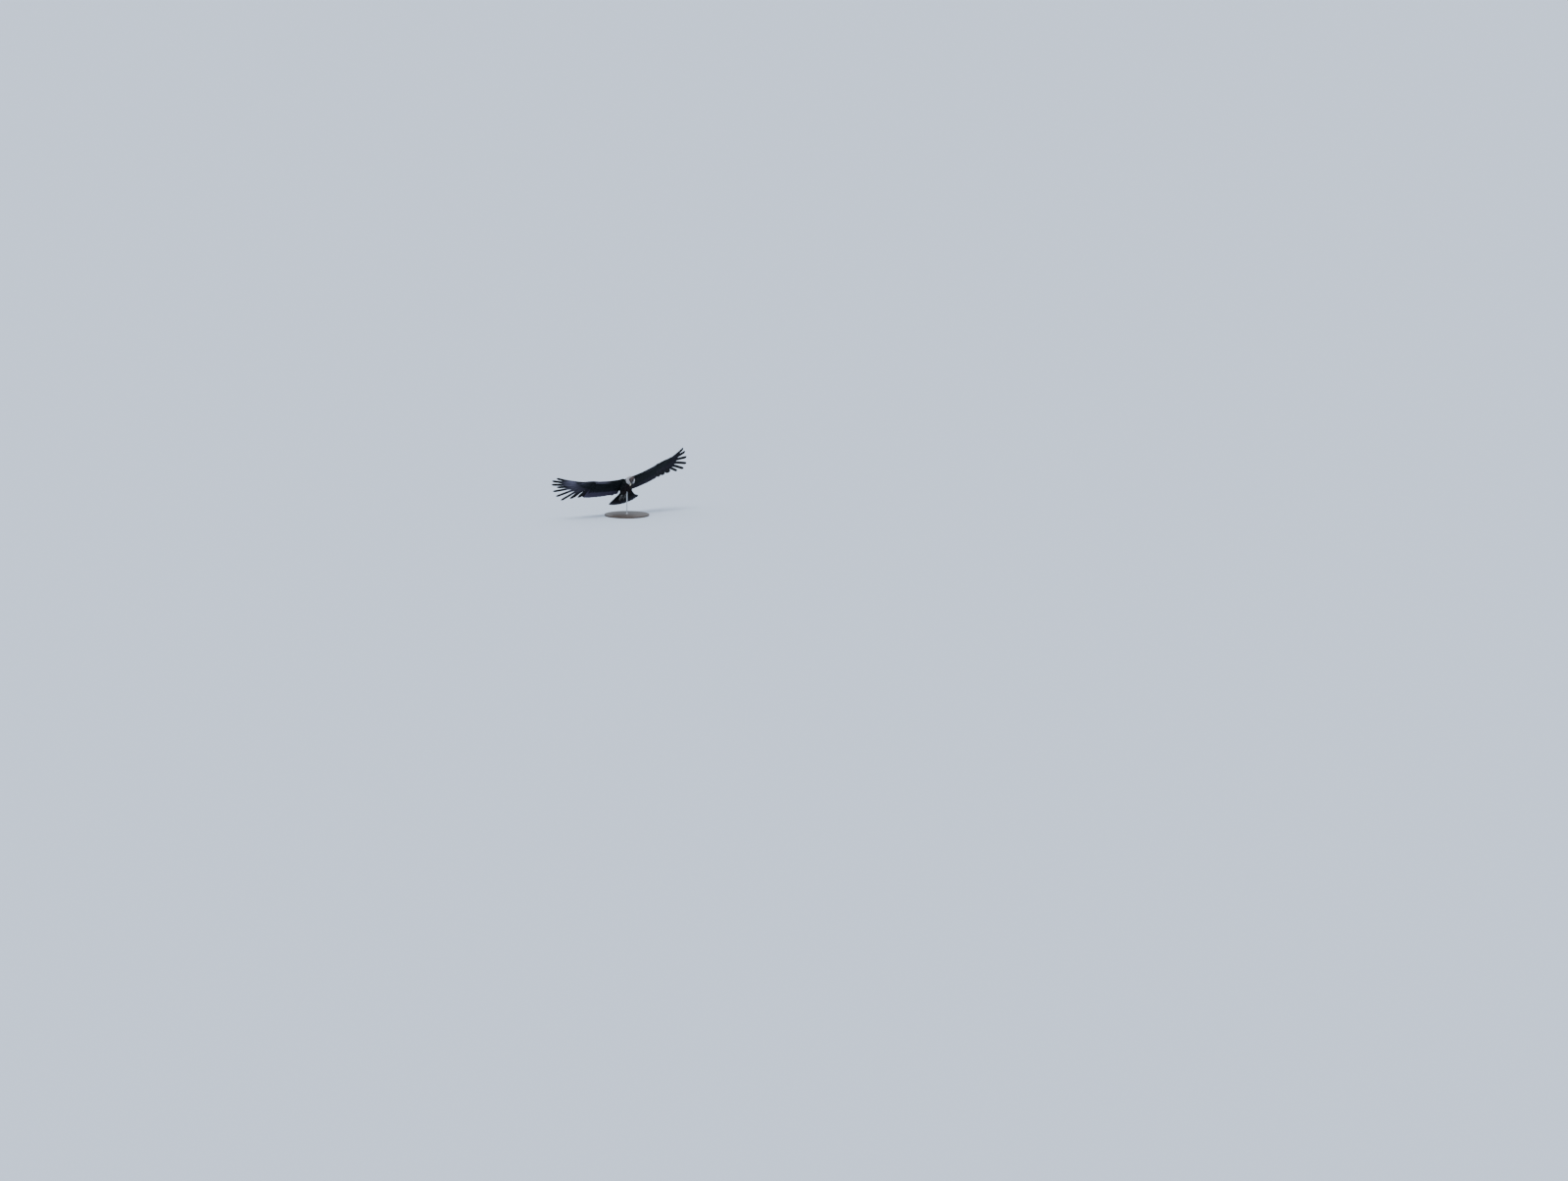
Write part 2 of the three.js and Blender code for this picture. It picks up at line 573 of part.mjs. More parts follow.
// Ring of lid round one eye.
function lid(sign) {
  const [x, y, z] = EYE.at;
  return solidFrom(new THREE.TorusGeometry(EYE.lidRadius, EYE.lidThick, 5, 12).scale(1, 0.86, 1)
    .rotateX(Math.PI / 2).rotateZ(-EYE.lidTurn * sign).translate(x, sign * (y + EYE.lidOut), z));
}

// Eye socket, nostril, corner of the mouth and ear of one side.
function hollows(sign) {
  return [eyeball(sign, GAP), ellipsoid(mirrored(NOSTRIL.at, sign), NOSTRIL.radii),
    ellipsoid(mirrored(MOUTH.at, sign), MOUTH.radii, 10, 4),
    ellipsoid(mirrored(EAR.at, sign), EAR.radii, 6, 4)];
}

// Skull with comb, wattles, lids and brows, cut off flat where the bill starts.
function headSolid() {
  const comb = billRings(COMB, 0, 8);
  const folds = [1, -1].flatMap((sign) => [lid(sign), ellipsoid(mirrored(BROW.at, sign), BROW.radii)]);
  const flesh = join([skull(), comb, ...folds, ...wattles()]);
  const [front] = SKULL[SKULL.length - 1];
  return flesh.subtract(join([1, -1].flatMap(hollows))).subtract(halfSpace(V(front, 0, 0), V(1, 0, 0)));
}

function legTube(side, grow = 0) {
  const points = LEG.map(([x, y, z]) => V(x, SIDES[side] * y, z));
  return tube(points, LEG.map(([, , , radius]) => radius + grow), 12);
}

function leg(side) {
  return legTube(side).subtract(torsoSolid(GAP));
}

// Toe from the foot's middle, with its knuckles and a blunt curved claw: distance, drop and radius.
function toe(side, heading, length) {
  const { at: [x, y, z], radius, claw, droop } = FOOT;
  const sign = SIDES[side];
  const along = V(-Math.cos(heading), sign * Math.sin(heading), droop).normalize();
  const rows = [
    [0, 0, radius],
    [0.3 * length, -2, 0.84 * radius],
    [0.4 * length, -2, radius],
    [0.68 * length, 0, 0.76 * radius],
    [length, 4, 0.66 * radius],
    [length + 0.5 * claw, 5, 0.42 * radius],
    [length + 0.95 * claw, 15, 0.8],
  ];
  const points = rows.map(([d, drop]) => V(x, sign * y, z - drop).addScaledVector(along, d));
  return tube(points, rows.map(([, , r]) => r), 6);
}

// Foot with three long toes to the back and a short raised hind toe.
function foot(side) {
  const sign = SIDES[side];
  const { at: [x, y, z], pad, toes, hind } = FOOT;
  const points = hind.map(([back, inward, down]) => V(x - back, sign * (y - inward), z - down));
  const spur = tube(points, hind.map(([, , , radius]) => radius), 7);
  const long = toes.map(({ turn, length }) => toe(side, turn, length));
  return join([ellipsoid([x, sign * y, z], pad), ...long, spur]).subtract(legTube(side, GAP));
}

// The bird's pose on the stand, and the rod that rises into its belly.
const pose = new THREE.Matrix4().makeBasis(...[FORWARD, LEFT, UP].map((a) => V(...a).normalize()));
const entry = V(...ROD.entry).applyMatrix4(pose);
pose.setPosition(-entry.x, -entry.y, SHOULDER_HEIGHT);

// Solid turned round the vertical axis, from a profile of radius and height.
function turned(profile, count) {
  const points = profile.map(([radius, height]) => new THREE.Vector2(radius, height));
  return solidFrom(new THREE.LatheGeometry(points, count).rotateX(Math.PI / 2));
}

function rodSolid(grow = 0) {
  const top = SHOULDER_HEIGHT + entry.z + ROD.socketDepth + grow;
  const floor = BASE.thickness + GAP;
  const r = ROD.radius + grow;
  return turned([[0, floor], [ROD.foot, floor], [ROD.foot, floor + ROD.rim], [r + 5, floor + ROD.footHeight],
    [r, floor + ROD.footHeight + ROD.neckHeight], [r, top], [0, top]], 16);
}

function baseSolid() {
  const { radius, thickness, chamfer } = BASE;
  return turned([[0, 0], [radius, 0], [radius, thickness - chamfer], [radius - chamfer, thickness],
    [0, thickness]], 40);
}

function paint(color, roughness, metalness = 0) {
  return new THREE.MeshStandardMaterial({ color, roughness, metalness });
}

const plumage = paint(0x17181b, 0.75);
const down = paint(0xe9e6df, 0.9);
const skin = paint(0x5a3b36, 0.6);
const horn = paint(0xd8cfb4, 0.4);
const iris = paint(0x4a2a16, 0.15);
const scutes = paint(0x4b4a4c, 0.6);
const wood = paint(0x3a342f, 0.5);
const steel = paint(0xb9bcc0, 0.3, 1);

const bodyRoom = torsoSolid(GAP);
const neckRoom = neckSolid(GAP);
const skullRoom = onHead(join([skull(GAP), ...wattles(GAP)]));
const chest = halfSpace(V(TORSO[0][0] + GAP, 0, 0), V(-1, 0, 0));
const socket = rodSolid(GAP).transform(pose.clone().invert().elements);
const upperBill = billRings(BILL_UPPER, 0, 12);
const lowerBill = billRings(BILL_LOWER, 0, 10).subtract(billRings(BILL_UPPER, GAP, 12));

const bird = new THREE.Group();
bird.add(meshOf('torso', torsoSolid().subtract(socket), plumage));
bird.add(meshOf('neck', neckSolid().subtract(chest).subtract(skullRoom), skin));
bird.add(meshOf('ruff', ruff().subtract(bodyRoom).subtract(neckRoom).subtract(skullRoom), down));
bird.add(meshOf('head', onHead(headSolid()), skin));
bird.add(meshOf('bill_upper', onHead(upperBill), horn));
bird.add(meshOf('bill_lower', onHead(lowerBill), horn));
bird.add(meshOf('tail', tail(), plumage));
for (const [side, sign] of Object.entries(SIDES)) {
  bird.add(meshOf('eye_' + side, onHead(eyeball(sign)), iris));
  bird.add(meshOf('wing_arm_' + side, wingArm(side).subtract(bodyRoom), plumage));
  bird.add(meshOf('wing_hand_' + side, wingHand(side), plumage));
  bird.add(meshOf('leg_' + side, leg(side), scutes));
  bird.add(meshOf('foot_' + side, foot(side), scutes));
}
bird.applyMatrix4(pose);

const condor = new THREE.Group();
condor.add(bird);
condor.add(meshOf('stand_base', baseSolid(), wood));
condor.add(meshOf('stand_rod', rodSolid(), steel));

export default condor;
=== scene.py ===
# %% [markdown]
# # Andean condor, soaring, on a display stand
# This file dresses a imported model with skin, feathers and finishes. The bird is turned on its
# stand as it was seen from below, banked and with its wings wide. We start with the imported model,
# which is the fixed frame that every piece is placed in, in metres.

# %% Load the frame
import json
import math

import bpy
import bmesh
import numpy as np
from mathutils import Matrix, Vector, noise
from mathutils.bvhtree import BVHTree

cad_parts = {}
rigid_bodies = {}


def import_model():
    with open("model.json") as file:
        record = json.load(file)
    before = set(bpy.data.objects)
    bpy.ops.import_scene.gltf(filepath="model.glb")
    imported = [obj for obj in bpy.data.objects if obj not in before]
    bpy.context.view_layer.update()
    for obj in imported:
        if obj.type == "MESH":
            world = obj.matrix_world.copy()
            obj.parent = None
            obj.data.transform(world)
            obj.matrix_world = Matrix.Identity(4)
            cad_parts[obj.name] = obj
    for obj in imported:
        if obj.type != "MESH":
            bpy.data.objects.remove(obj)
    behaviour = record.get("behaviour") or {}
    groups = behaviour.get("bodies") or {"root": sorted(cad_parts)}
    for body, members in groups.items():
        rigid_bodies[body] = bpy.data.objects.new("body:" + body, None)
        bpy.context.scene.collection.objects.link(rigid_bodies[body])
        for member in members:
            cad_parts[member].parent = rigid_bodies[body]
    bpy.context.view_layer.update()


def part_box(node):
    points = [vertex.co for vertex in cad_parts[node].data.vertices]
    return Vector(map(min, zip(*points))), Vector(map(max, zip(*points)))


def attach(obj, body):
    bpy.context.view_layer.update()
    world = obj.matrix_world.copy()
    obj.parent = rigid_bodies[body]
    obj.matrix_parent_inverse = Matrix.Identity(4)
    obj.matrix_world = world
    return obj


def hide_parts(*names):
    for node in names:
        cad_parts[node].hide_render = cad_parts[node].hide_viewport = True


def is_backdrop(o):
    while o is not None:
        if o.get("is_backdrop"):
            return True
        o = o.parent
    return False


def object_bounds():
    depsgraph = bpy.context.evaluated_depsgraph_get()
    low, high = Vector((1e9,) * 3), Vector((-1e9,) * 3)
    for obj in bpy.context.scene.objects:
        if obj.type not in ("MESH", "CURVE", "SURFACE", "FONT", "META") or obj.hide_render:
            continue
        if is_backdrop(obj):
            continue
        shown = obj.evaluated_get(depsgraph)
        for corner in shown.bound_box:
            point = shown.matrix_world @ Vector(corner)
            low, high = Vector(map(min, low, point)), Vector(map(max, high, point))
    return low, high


for leftover in list(bpy.data.objects):
    bpy.data.objects.remove(leftover)
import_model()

# %% [markdown]
# ## Camera
# The bird was photographed from far below with a long view, so it fills little of the frame. We
# could aim the camera with a Track To constraint, but then the bird would land in the middle. We
# work out the ray of the pixel where the shoulders stand instead, and turn the camera about it.

# %% Camera
PHOTO = (1600, 1205)
SHOULDER_PIXEL = (638.3, 491.9)
LENS, SENSOR = 85.0, 36.0
DISTANCE, ELEVATION, CLIP = 66.0, math.radians(8), (0.1, 20000)
SHOULDER_HEIGHT = 0.600
FORWARD, LEFT, UP = (0.245, -0.611, 0.752), (0.837, 0.524, 0.154), (-0.489, 0.592, 0.641)
ROD_ENTRY = (-0.115, 0.0, -0.108)


def unit(v):
    v = np.asarray(v, float)
    return v / np.linalg.norm(v, axis=-1, keepdims=True)


BIRD_AXES = np.column_stack([unit(FORWARD), unit(LEFT), unit(UP)])
ENTRY_OFFSET = BIRD_AXES @ np.array(ROD_ENTRY)
BIRD_AT = np.array([-ENTRY_OFFSET[0], -ENTRY_OFFSET[1], SHOULDER_HEIGHT])


def to_row(points):
    """Points of the bird's frame, x to its bill, y to its left and z to its back, in the row frame."""
    return np.asarray(points) @ BIRD_AXES.T + BIRD_AT


def link_up(name, data):
    made = bpy.data.objects.new(name, data)
    bpy.context.scene.collection.objects.link(made)
    return made


def aim_camera():
    focal = PHOTO[0] * LENS / SENSOR
    across, down = (pixel - size / 2 for pixel, size in zip(SHOULDER_PIXEL, PHOTO))
    ray = Vector((across / focal, -down / focal, -1))
    ray.normalize()
    back = Vector((0, -math.cos(ELEVATION), math.sin(ELEVATION)))
    side = Vector((1, 0, 0))
    level = Matrix((side, back.cross(side), back)).transposed()
    turn = level @ ray.rotation_difference(Vector((0, 0, -1))).to_matrix()
    data = bpy.data.cameras.new("camera")
    data.lens, data.sensor_width = LENS, SENSOR
    data.clip_start, data.clip_end = CLIP
    camera = link_up("camera", data)
    camera.matrix_world = Matrix.Translation(Vector(BIRD_AT) - (turn @ ray) * DISTANCE) @ turn.to_4x4()
    bpy.context.scene.camera = camera
    return camera


camera = aim_camera()
print("camera at", [round(v, 2) for v in camera.location])

# %% [markdown]
# ## Floor and light
# A pale floor under a plain soft sky shows a dark bird best. The camera looks along the floor from
# low down, so the floor is very wide and no edge of it shows. A sun with a wide disc lights all of
# it alike, which an area lamp near the bird would not.

# %% Floor and light
FLOOR_SIZE, FLOOR_COLOUR = 6000.0, (0.60, 0.68, 0.80, 1)
SKY_COLOUR, SKY_STRENGTH = (0.80, 0.88, 1.0), 0.9
SUN_STRENGTH, SUN_DISC = 2.6, math.radians(35)
SUN_TURN = (math.radians(20), 0, math.radians(-28))


def input_title(name):
    """Title of a shader's input from its name in a call, such as coat_weight."""
    return name.replace("_", " ").title()


def new_material(name, roughness, specular=0.5, **values):
    """Material with fixed values on its Principled shader; returns it with its tree and shader."""
    made = bpy.data.materials.new(name)
    made.use_nodes = True
    shader = made.node_tree.nodes["Principled BSDF"]
    shader.inputs["Specular IOR Level"].default_value = specular
    for title, value in {"roughness": roughness, **values}.items():
        shader.inputs[input_title(title)].default_value = value
    return made, made.node_tree, shader


def make_floor():
    bpy.ops.mesh.primitive_plane_add(size=FLOOR_SIZE)
    floor = bpy.context.object
    floor.name = "floor"
    floor.data.materials.append(new_material("floor_paint", 0.85, 0.2, base_color=FLOOR_COLOUR)[0])
    floor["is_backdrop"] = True


def light_the_room():
    world = bpy.data.worlds.new("soft_sky")
    bpy.context.scene.world = world
    world.use_nodes = True
    background = world.node_tree.nodes["Background"]
    background.inputs["Color"].default_value = (*SKY_COLOUR, 1)
    background.inputs["Strength"].default_value = SKY_STRENGTH
    lamp = bpy.data.lights.new("key", "SUN")
    lamp.energy, lamp.angle = SUN_STRENGTH, SUN_DISC
    link_up("key", lamp).rotation_euler = SUN_TURN


make_floor()
light_the_room()
print("floor", FLOOR_SIZE, "m wide")

# %% [markdown]
# ## The wing as a curved space
# Every feather of a wing has its place along the span, on the chord and above or below the flesh.
# We could bend straight wings with a Curve modifier, but it moves feathers that are already laid.
# Here the wing's line is worked out first, and each point is placed along it from the start.

# %% Wing line
SIDES = {"left": 1.0, "right": -1.0}
HALF_SPAN = 1.555
RISE, RISE_GAIN, RISE_POWER = 0.10, 0.27, 1.6
SWEEP, SWEEP_GAIN = 0.06, 0.10
REACH = {"right": 1.0, "left": 1.06}


def wing_line(side, step=0.01):
    """Distances along one wing's line, with the place and the three directions at each."""
    t = np.arange(0, 1.1, step)
    u = t / HALF_SPAN
    rise = RISE + RISE_GAIN * u**RISE_POWER
    sweep = (SWEEP + SWEEP_GAIN * u)[:, None]
    flat = np.zeros_like(t)
    level = np.stack([flat, SIDES[side] * np.cos(rise), np.sin(rise)], 1)
    up = np.stack([flat, -SIDES[side] * np.sin(rise), np.cos(rise)], 1)
    ahead = np.array([1.0, 0, 0])
    out = level * np.cos(sweep) + ahead * np.sin(sweep)
    fore = ahead * np.cos(sweep) - level * np.sin(sweep)
    at = np.vstack([np.zeros(3), np.cumsum(out[:-1] * step * REACH[side], axis=0)])
    return {"t": t, "at": at, "out": out, "up": up, "fore": fore}


WING_LINES = {side: wing_line(side) for side in SIDES}


def columns_at(x, places, rows):
    """Straight-line lookup of x in places, for each column of rows."""
    return np.stack([np.interp(x, places, column) for column in np.asarray(rows, float).T], -1)


def on_line(side, t, name):
    line = WING_LINES[side]
    values = columns_at(t, line["t"], line[name])
    return values if name == "at" else unit(values)


def feather_axes(side, t, degrees):
    """Directions of a flat feather at t that points so many degrees outwards from straight back."""
    fore, out, up = (on_line(side, t, name) for name in ("fore", "out", "up"))
    return out * math.sin(math.radians(degrees)) - fore * math.cos(math.radians(degrees)), up


def wing_point(side, t, chord, lift):
    """Point in the wing's own space, in the bird's frame."""
    chord, lift = np.asarray(chord)[..., None], np.asarray(lift)[..., None]
    return on_line(side, t, "at") + on_line(side, t, "fore") * chord + on_line(side, t, "up") * lift


def table(rows):
    """Straight-line lookup in rows of distance and value."""
    rows = np.array(rows, float)
    return lambda x: np.interp(x, rows[:, 0], rows[:, 1])


lead_edge = table([[0, 0.104], [0.09, 0.096], [0.15, 0.080], [0.35, 0.074], [0.56, 0.084], [0.66, 0.098],
                   [0.76, 0.096], [0.86, 0.082], [0.90, 0.066]])
trail_edge = table([[0, 0.290], [0.13, 0.318], [0.22, 0.324], [0.30, 0.334], [0.54, 0.346], [0.64, 0.342]])
quill_line = table([[0, 0.030], [0.12, 0.035], [0.35, 0.030], [0.64, 0.074], [0.86, 0.066]])
flesh_depth = table([[0.06, 0.066], [0.20, 0.054], [0.34, 0.046], [0.64, 0.032], [0.76, 0.022],
                     [0.875, 0.012]])
flesh_back = table([[0.06, 0.150], [0.34, 0.140], [0.60, 0.128], [0.70, 0.096], [0.872, 0.026]])


def flesh_outline(t, face):
    """Chords and heights of the flesh over (face 1) or under (face -1) the wing's middle plane."""
    front, back, depth = float(lead_edge(t)), -float(flesh_back(t)), float(flesh_depth(t))
    middle = front - 0.45 * (front - back)
    if face > 0:
        chords = [back, back + 0.030, middle, front - depth, front - 0.12 * depth, front]
        heights = [0.0015, 0.15 * depth, 0.42 * depth, 0.5 * depth, 0.2 * depth, -0.06 * depth]
    else:
        chords = [back, back + 0.034, middle, front - 0.9 * depth, front - 0.15 * depth, front]
        heights = [0.0015, 0.13 * depth, 0.36 * depth, 0.46 * depth, 0.3 * depth, 0.06 * depth]
    return chords, heights


def flesh_height(t, chord, face):
    """Height of the flesh at each pair of span and chord, 0 off its edges."""
    t, chord = np.broadcast_arrays(t, chord)
    found = [np.interp(c, *flesh_outline(s, face), left=0.0) for s, c in zip(t.ravel(), chord.ravel())]
    return np.array(found).reshape(t.shape)


print("wing line:", {side: round(float(np.linalg.norm(line["at"][87])), 3)
                     for side, line in WING_LINES.items()}, "m to the hand's tip")

# %% [markdown]
# ## Quills, and one tree that makes vanes on them
# A feather is a stiff quill with a web on each side. All of them, from the finger feathers to the
# down of the collar, are alike in this, so one Geometry Nodes tree makes them all. The script works
# out each quill as a short row of points that knows which way the feather faces and how wide its
# webs are. The tree turns the rows into smooth curves, puts a flat blank on each, and bends the
# blank along its curve. Instances alone could not do this, because they can't bend.

# %% A small helper for node trees
class Field:
    """A value that flows through a node tree. Arithmetic on it adds Math or Vector Math nodes."""

    def __init__(self, tree, socket):
        self.tree, self.socket = tree, socket
        self.is_vector = socket.type in ("VECTOR", "RGBA")

    def math_node(self, kind, operation, *terms):
        made = self.tree.nodes.new(kind)
        made.operation = operation
        for slot, term in zip(made.inputs, terms):
            plug(self.tree, slot, term)
        return made

    def mix(self, operation, *others):
        terms = (self, *others)
        vectors = any(isinstance(term, Field) and term.is_vector for term in terms)
        if vectors and operation == "MULTIPLY" and not getattr(terms[1], "is_vector", False):
            made = self.math_node("ShaderNodeVectorMath", "SCALE", self)
            plug(self.tree, made.inputs["Scale"], terms[1])
        else:
            made = self.math_node("ShaderNodeVectorMath" if vectors else "ShaderNodeMath", operation, *terms)
        return Field(self.tree, made.outputs[0])

    def cross(self, other):
        return self.mix("CROSS_PRODUCT", other).unit()

    def noise(self, scale=1.0):
        return Field(self.tree, result(self.tree, "ShaderNodeTexNoise",
                                       {"Vector": self, "Scale": scale, "Detail": 1.0}))

    def cells(self, scale, **settings):
        return Field(self.tree, result(self.tree, "ShaderNodeTexVoronoi",
                                       {"Vector": self, "Scale": scale}, **settings))

    def parts(self):
        made = self.tree.nodes.new("ShaderNodeSeparateXYZ")
        self.tree.links.new(self.socket, made.inputs[0])
        return [Field(self.tree, out) for out in made.outputs]


for word, operation in {"__add__": "ADD", "__sub__": "SUBTRACT", "__mul__": "MULTIPLY",
                        "__truediv__": "DIVIDE", "__pow__": "POWER", "at_least": "MAXIMUM",
                        "at_most": "MINIMUM", "above": "GREATER_THAN", "size": "ABSOLUTE",
                        "root": "SQRT", "unit": "NORMALIZE"}.items():
    setattr(Field, word, lambda self, *others, operation=operation: self.mix(operation, *others))


def plug(tree, slot, term):
    """Links a field or a socket to an input, or sets the input to a plain value."""
    if isinstance(term, Field):
        term = term.socket
    if isinstance(term, bpy.types.NodeSocket):
        tree.links.new(term, slot)
    else:
        slot.default_value = term


def node(tree, kind, inputs=(), **settings):
    """New node with its settings and inputs; inputs is a dict of names or numbers."""
    made = tree.nodes.new(kind)
    for name, value in settings.items():
        setattr(made, name, value)
    for name, term in dict(inputs).items():
        plug(tree, made.inputs[name], term)
    return made


def result(tree, kind, inputs=(), **settings):
    """First output of a new node."""
    return node(tree, kind, inputs, **settings).outputs[0]


def vector(tree, x, y, z):
    return Field(tree, node(tree, "ShaderNodeCombineXYZ", {0: x, 1: y, 2: z}).outputs[0])


def named(tree, name, kind="FLOAT"):
    made = node(tree, "GeometryNodeInputNamedAttribute", {"Name": name}, data_type=kind)
    return Field(tree, made.outputs["Attribute"])


def new_tree(name, inputs):
    """Geometry Nodes tree with a geometry input and output and the named inputs after it."""
    tree = bpy.data.node_groups.new(name, "GeometryNodeTree")
    tree.interface.new_socket("Geometry", in_out="INPUT", socket_type="NodeSocketGeometry")
    tree.interface.new_socket("Geometry", in_out="OUTPUT", socket_type="NodeSocketGeometry")
    for title, kind in inputs.items():
        tree.interface.new_socket(title, in_out="INPUT", socket_type="NodeSocket" + kind)
    given = tree.nodes.new("NodeGroupInput")
    return tree, {socket.name: socket for socket in given.outputs if socket.name}


def save_attribute(tree, geometry, name, value, kind, domain="POINT"):
    return result(tree, "GeometryNodeStoreNamedAttribute",
                  {"Geometry": geometry, "Name": name, "Value": value}, data_type=kind, domain=domain)


print("helpers for node trees are ready")

# %% The vane tree
FRAYS, TEARS = 90.0, 11.0  # waves of noise along a metre of rim, and along a whole feather
TEAR_START, TEAR_STEEP = 0.60, 7.0
WEB_SLIDE = 0.55  # how far a web's rim is drawn towards the tip, as a share of its width


def blanks_on(tree, points, blank, **placing):
    """Instances of a blank on points."""
    blank = node(tree, "GeometryNodeObjectInfo", {"Object": blank}).outputs["Geometry"]
    return result(tree, "GeometryNodeInstanceOnPoints", {"Points": points, "Instance": blank, **placing})


def end_tree(tree, geometry, material):
    geometry = result(tree, "GeometryNodeRealizeInstances", {"Geometry": geometry})
    geometry = result(tree, "GeometryNodeSetShadeSmooth", {"Geometry": geometry})
    geometry = result(tree, "GeometryNodeSetMaterial", {"Geometry": geometry, "Material": material})
    tree.links.new(geometry, tree.nodes.new("NodeGroupOutput").inputs[0])
    return tree


def build_vane_tree():
    tree, given = new_tree("vanes_on_quills", {
        "Blank": "Object", "Material": "Material", "Ragged edge": "Float", "Split": "Float",
        "Ridge": "Float", "Round tip": "Float", "Fringe": "Float", "Patch": "Vector", "Seed": "Float"})
    ragged, split, crest, blunt, fringe, patch, seed = (Field(tree, given[title]) for title in (
        "Ragged edge", "Split", "Ridge", "Round tip", "Fringe", "Patch", "Seed"))
    curves = result(tree, "GeometryNodeMeshToCurve", {"Mesh": given["Geometry"]})
    curves = result(tree, "GeometryNodeCurveSplineType", {"Curve": curves}, spline_type="CATMULL_ROM")
    curves = result(tree, "GeometryNodeSetSplineResolution", {"Geometry": curves, "Resolution": 3})
    counted = node(tree, "GeometryNodeAttributeDomainSize", {0: curves}, component="CURVE")
    points = result(tree, "GeometryNodePoints", {"Count": counted.outputs["Spline Count"]})
    points = save_attribute(tree, points, "feather", result(tree, "GeometryNodeInputIndex"), "INT")
    vanes = blanks_on(tree, points, given["Blank"])
    vanes = result(tree, "GeometryNodeRealizeInstances", {"Geometry": vanes})

    share, across, side = named(tree, "share"), named(tree, "across"), named(tree, "side")
    feather = named(tree, "feather", "INT")

    def sample(name):
        found = node(tree, "GeometryNodeSampleCurve", {
            "Curves": curves, "Value": named(tree, name, "FLOAT_VECTOR"), "Factor": share,
            "Curve Index": feather}, mode="FACTOR", data_type="FLOAT_VECTOR", use_all_curves=False)
        return found, Field(tree, found.outputs["Value"])

    quill, face = sample("face")
    place, along = Field(tree, quill.outputs["Position"]), Field(tree, quill.outputs["Tangent"])
    face = face.unit()
    plus, minus, thick = sample("webs")[1].parts()
    roll, camber, lip = sample("form")[1].parts()
    spot_u, spot_v, length = sample("root")[1].parts()
    over, under = sample("over")[1], sample("under")[1]

    positive = across.above(0.0)
    half = minus + (plus - minus) * positive
    tip_part = ((plus + minus) * 0.5 / length * blunt).at_most(0.9)
    past = ((share - 1.0) / tip_part + 1.0).at_least(0.0).at_most(1.0)
    rounding = ((past * past * -1.0) + 1.0).at_least(0.01).root()
    number = feather * 1.0
    fray = vector(tree, number * 7.31, share * length * FRAYS, positive * 5.0 + seed).noise()
    tear = vector(tree, number * 3.17, share * TEARS, positive * 9.0).noise()
    torn = ((tear - TEAR_START).at_least(0.0) * TEAR_STEEP).at_most(1.0) * split
    edge = (fray * ragged * -1.0 + 1.0) * (torn * -1.0 + 1.0)
    width = half * rounding * edge * across
    reach = width.size()
    slide = reach * WEB_SLIDE * (share * -1.0 + 1.0)
    bow = reach * reach / (half.at_least(0.001)) * camber * -1.0
    ridge = ((across.size() * -14.0 + 1.0).at_least(0.0)) * crest
    body = (across ** 4.0 * -1.0 + 1.0) * thick * 0.5
    height = side * (body + ridge) + bow + width * roll + share * share * lip
    moved = place + along.cross(face) * width + face * height + along * slide
    vanes = result(tree, "GeometryNodeSetPosition", {"Geometry": vanes, "Position": moved})

    tint = under + (over - under) * side.above(0.5)
    worn = (across ** 8.0).at_least((share * 5.0 - 4.0).at_least(0.0))
    vanes = save_attribute(tree, vanes, "tint", tint * (worn * fringe + 1.0), "FLOAT_COLOR")
    web = vector(tree, across * half, share * length, number)
    vanes = save_attribute(tree, vanes, "web", web, "FLOAT_VECTOR")
    blank_u, blank_v, _ = named(tree, "vane", "FLOAT_VECTOR").parts()
    patch_u, patch_v, _ = patch.parts()
    spot = vector(tree, spot_u + blank_u * patch_u, spot_v + blank_v * patch_v, 0.0)
    vanes = save_attribute(tree, vanes, "OFBake", spot, "FLOAT2", "CORNER")
    return end_tree(tree, vanes, given["Material"])


VANE_TREE = build_vane_tree()
print("vane tree:", len(VANE_TREE.nodes), "nodes")

# %% Blanks: flat closed leaves that the tree bends
BLANK_BODY, BLANK_TIP = 0.93, 0.07  # shares of the length with even rows, and with closer ones


def keep(data, label, kind, values):
    """Stores values on the points of a mesh, under a label that trees and finishes read."""
    word = {"FLOAT": "value", "FLOAT_VECTOR": "vector", "FLOAT_COLOR": "color"}[kind]
    data.attributes.new(label, kind, "POINT").data.foreach_set(word, np.asarray(values, np.float32).ravel())


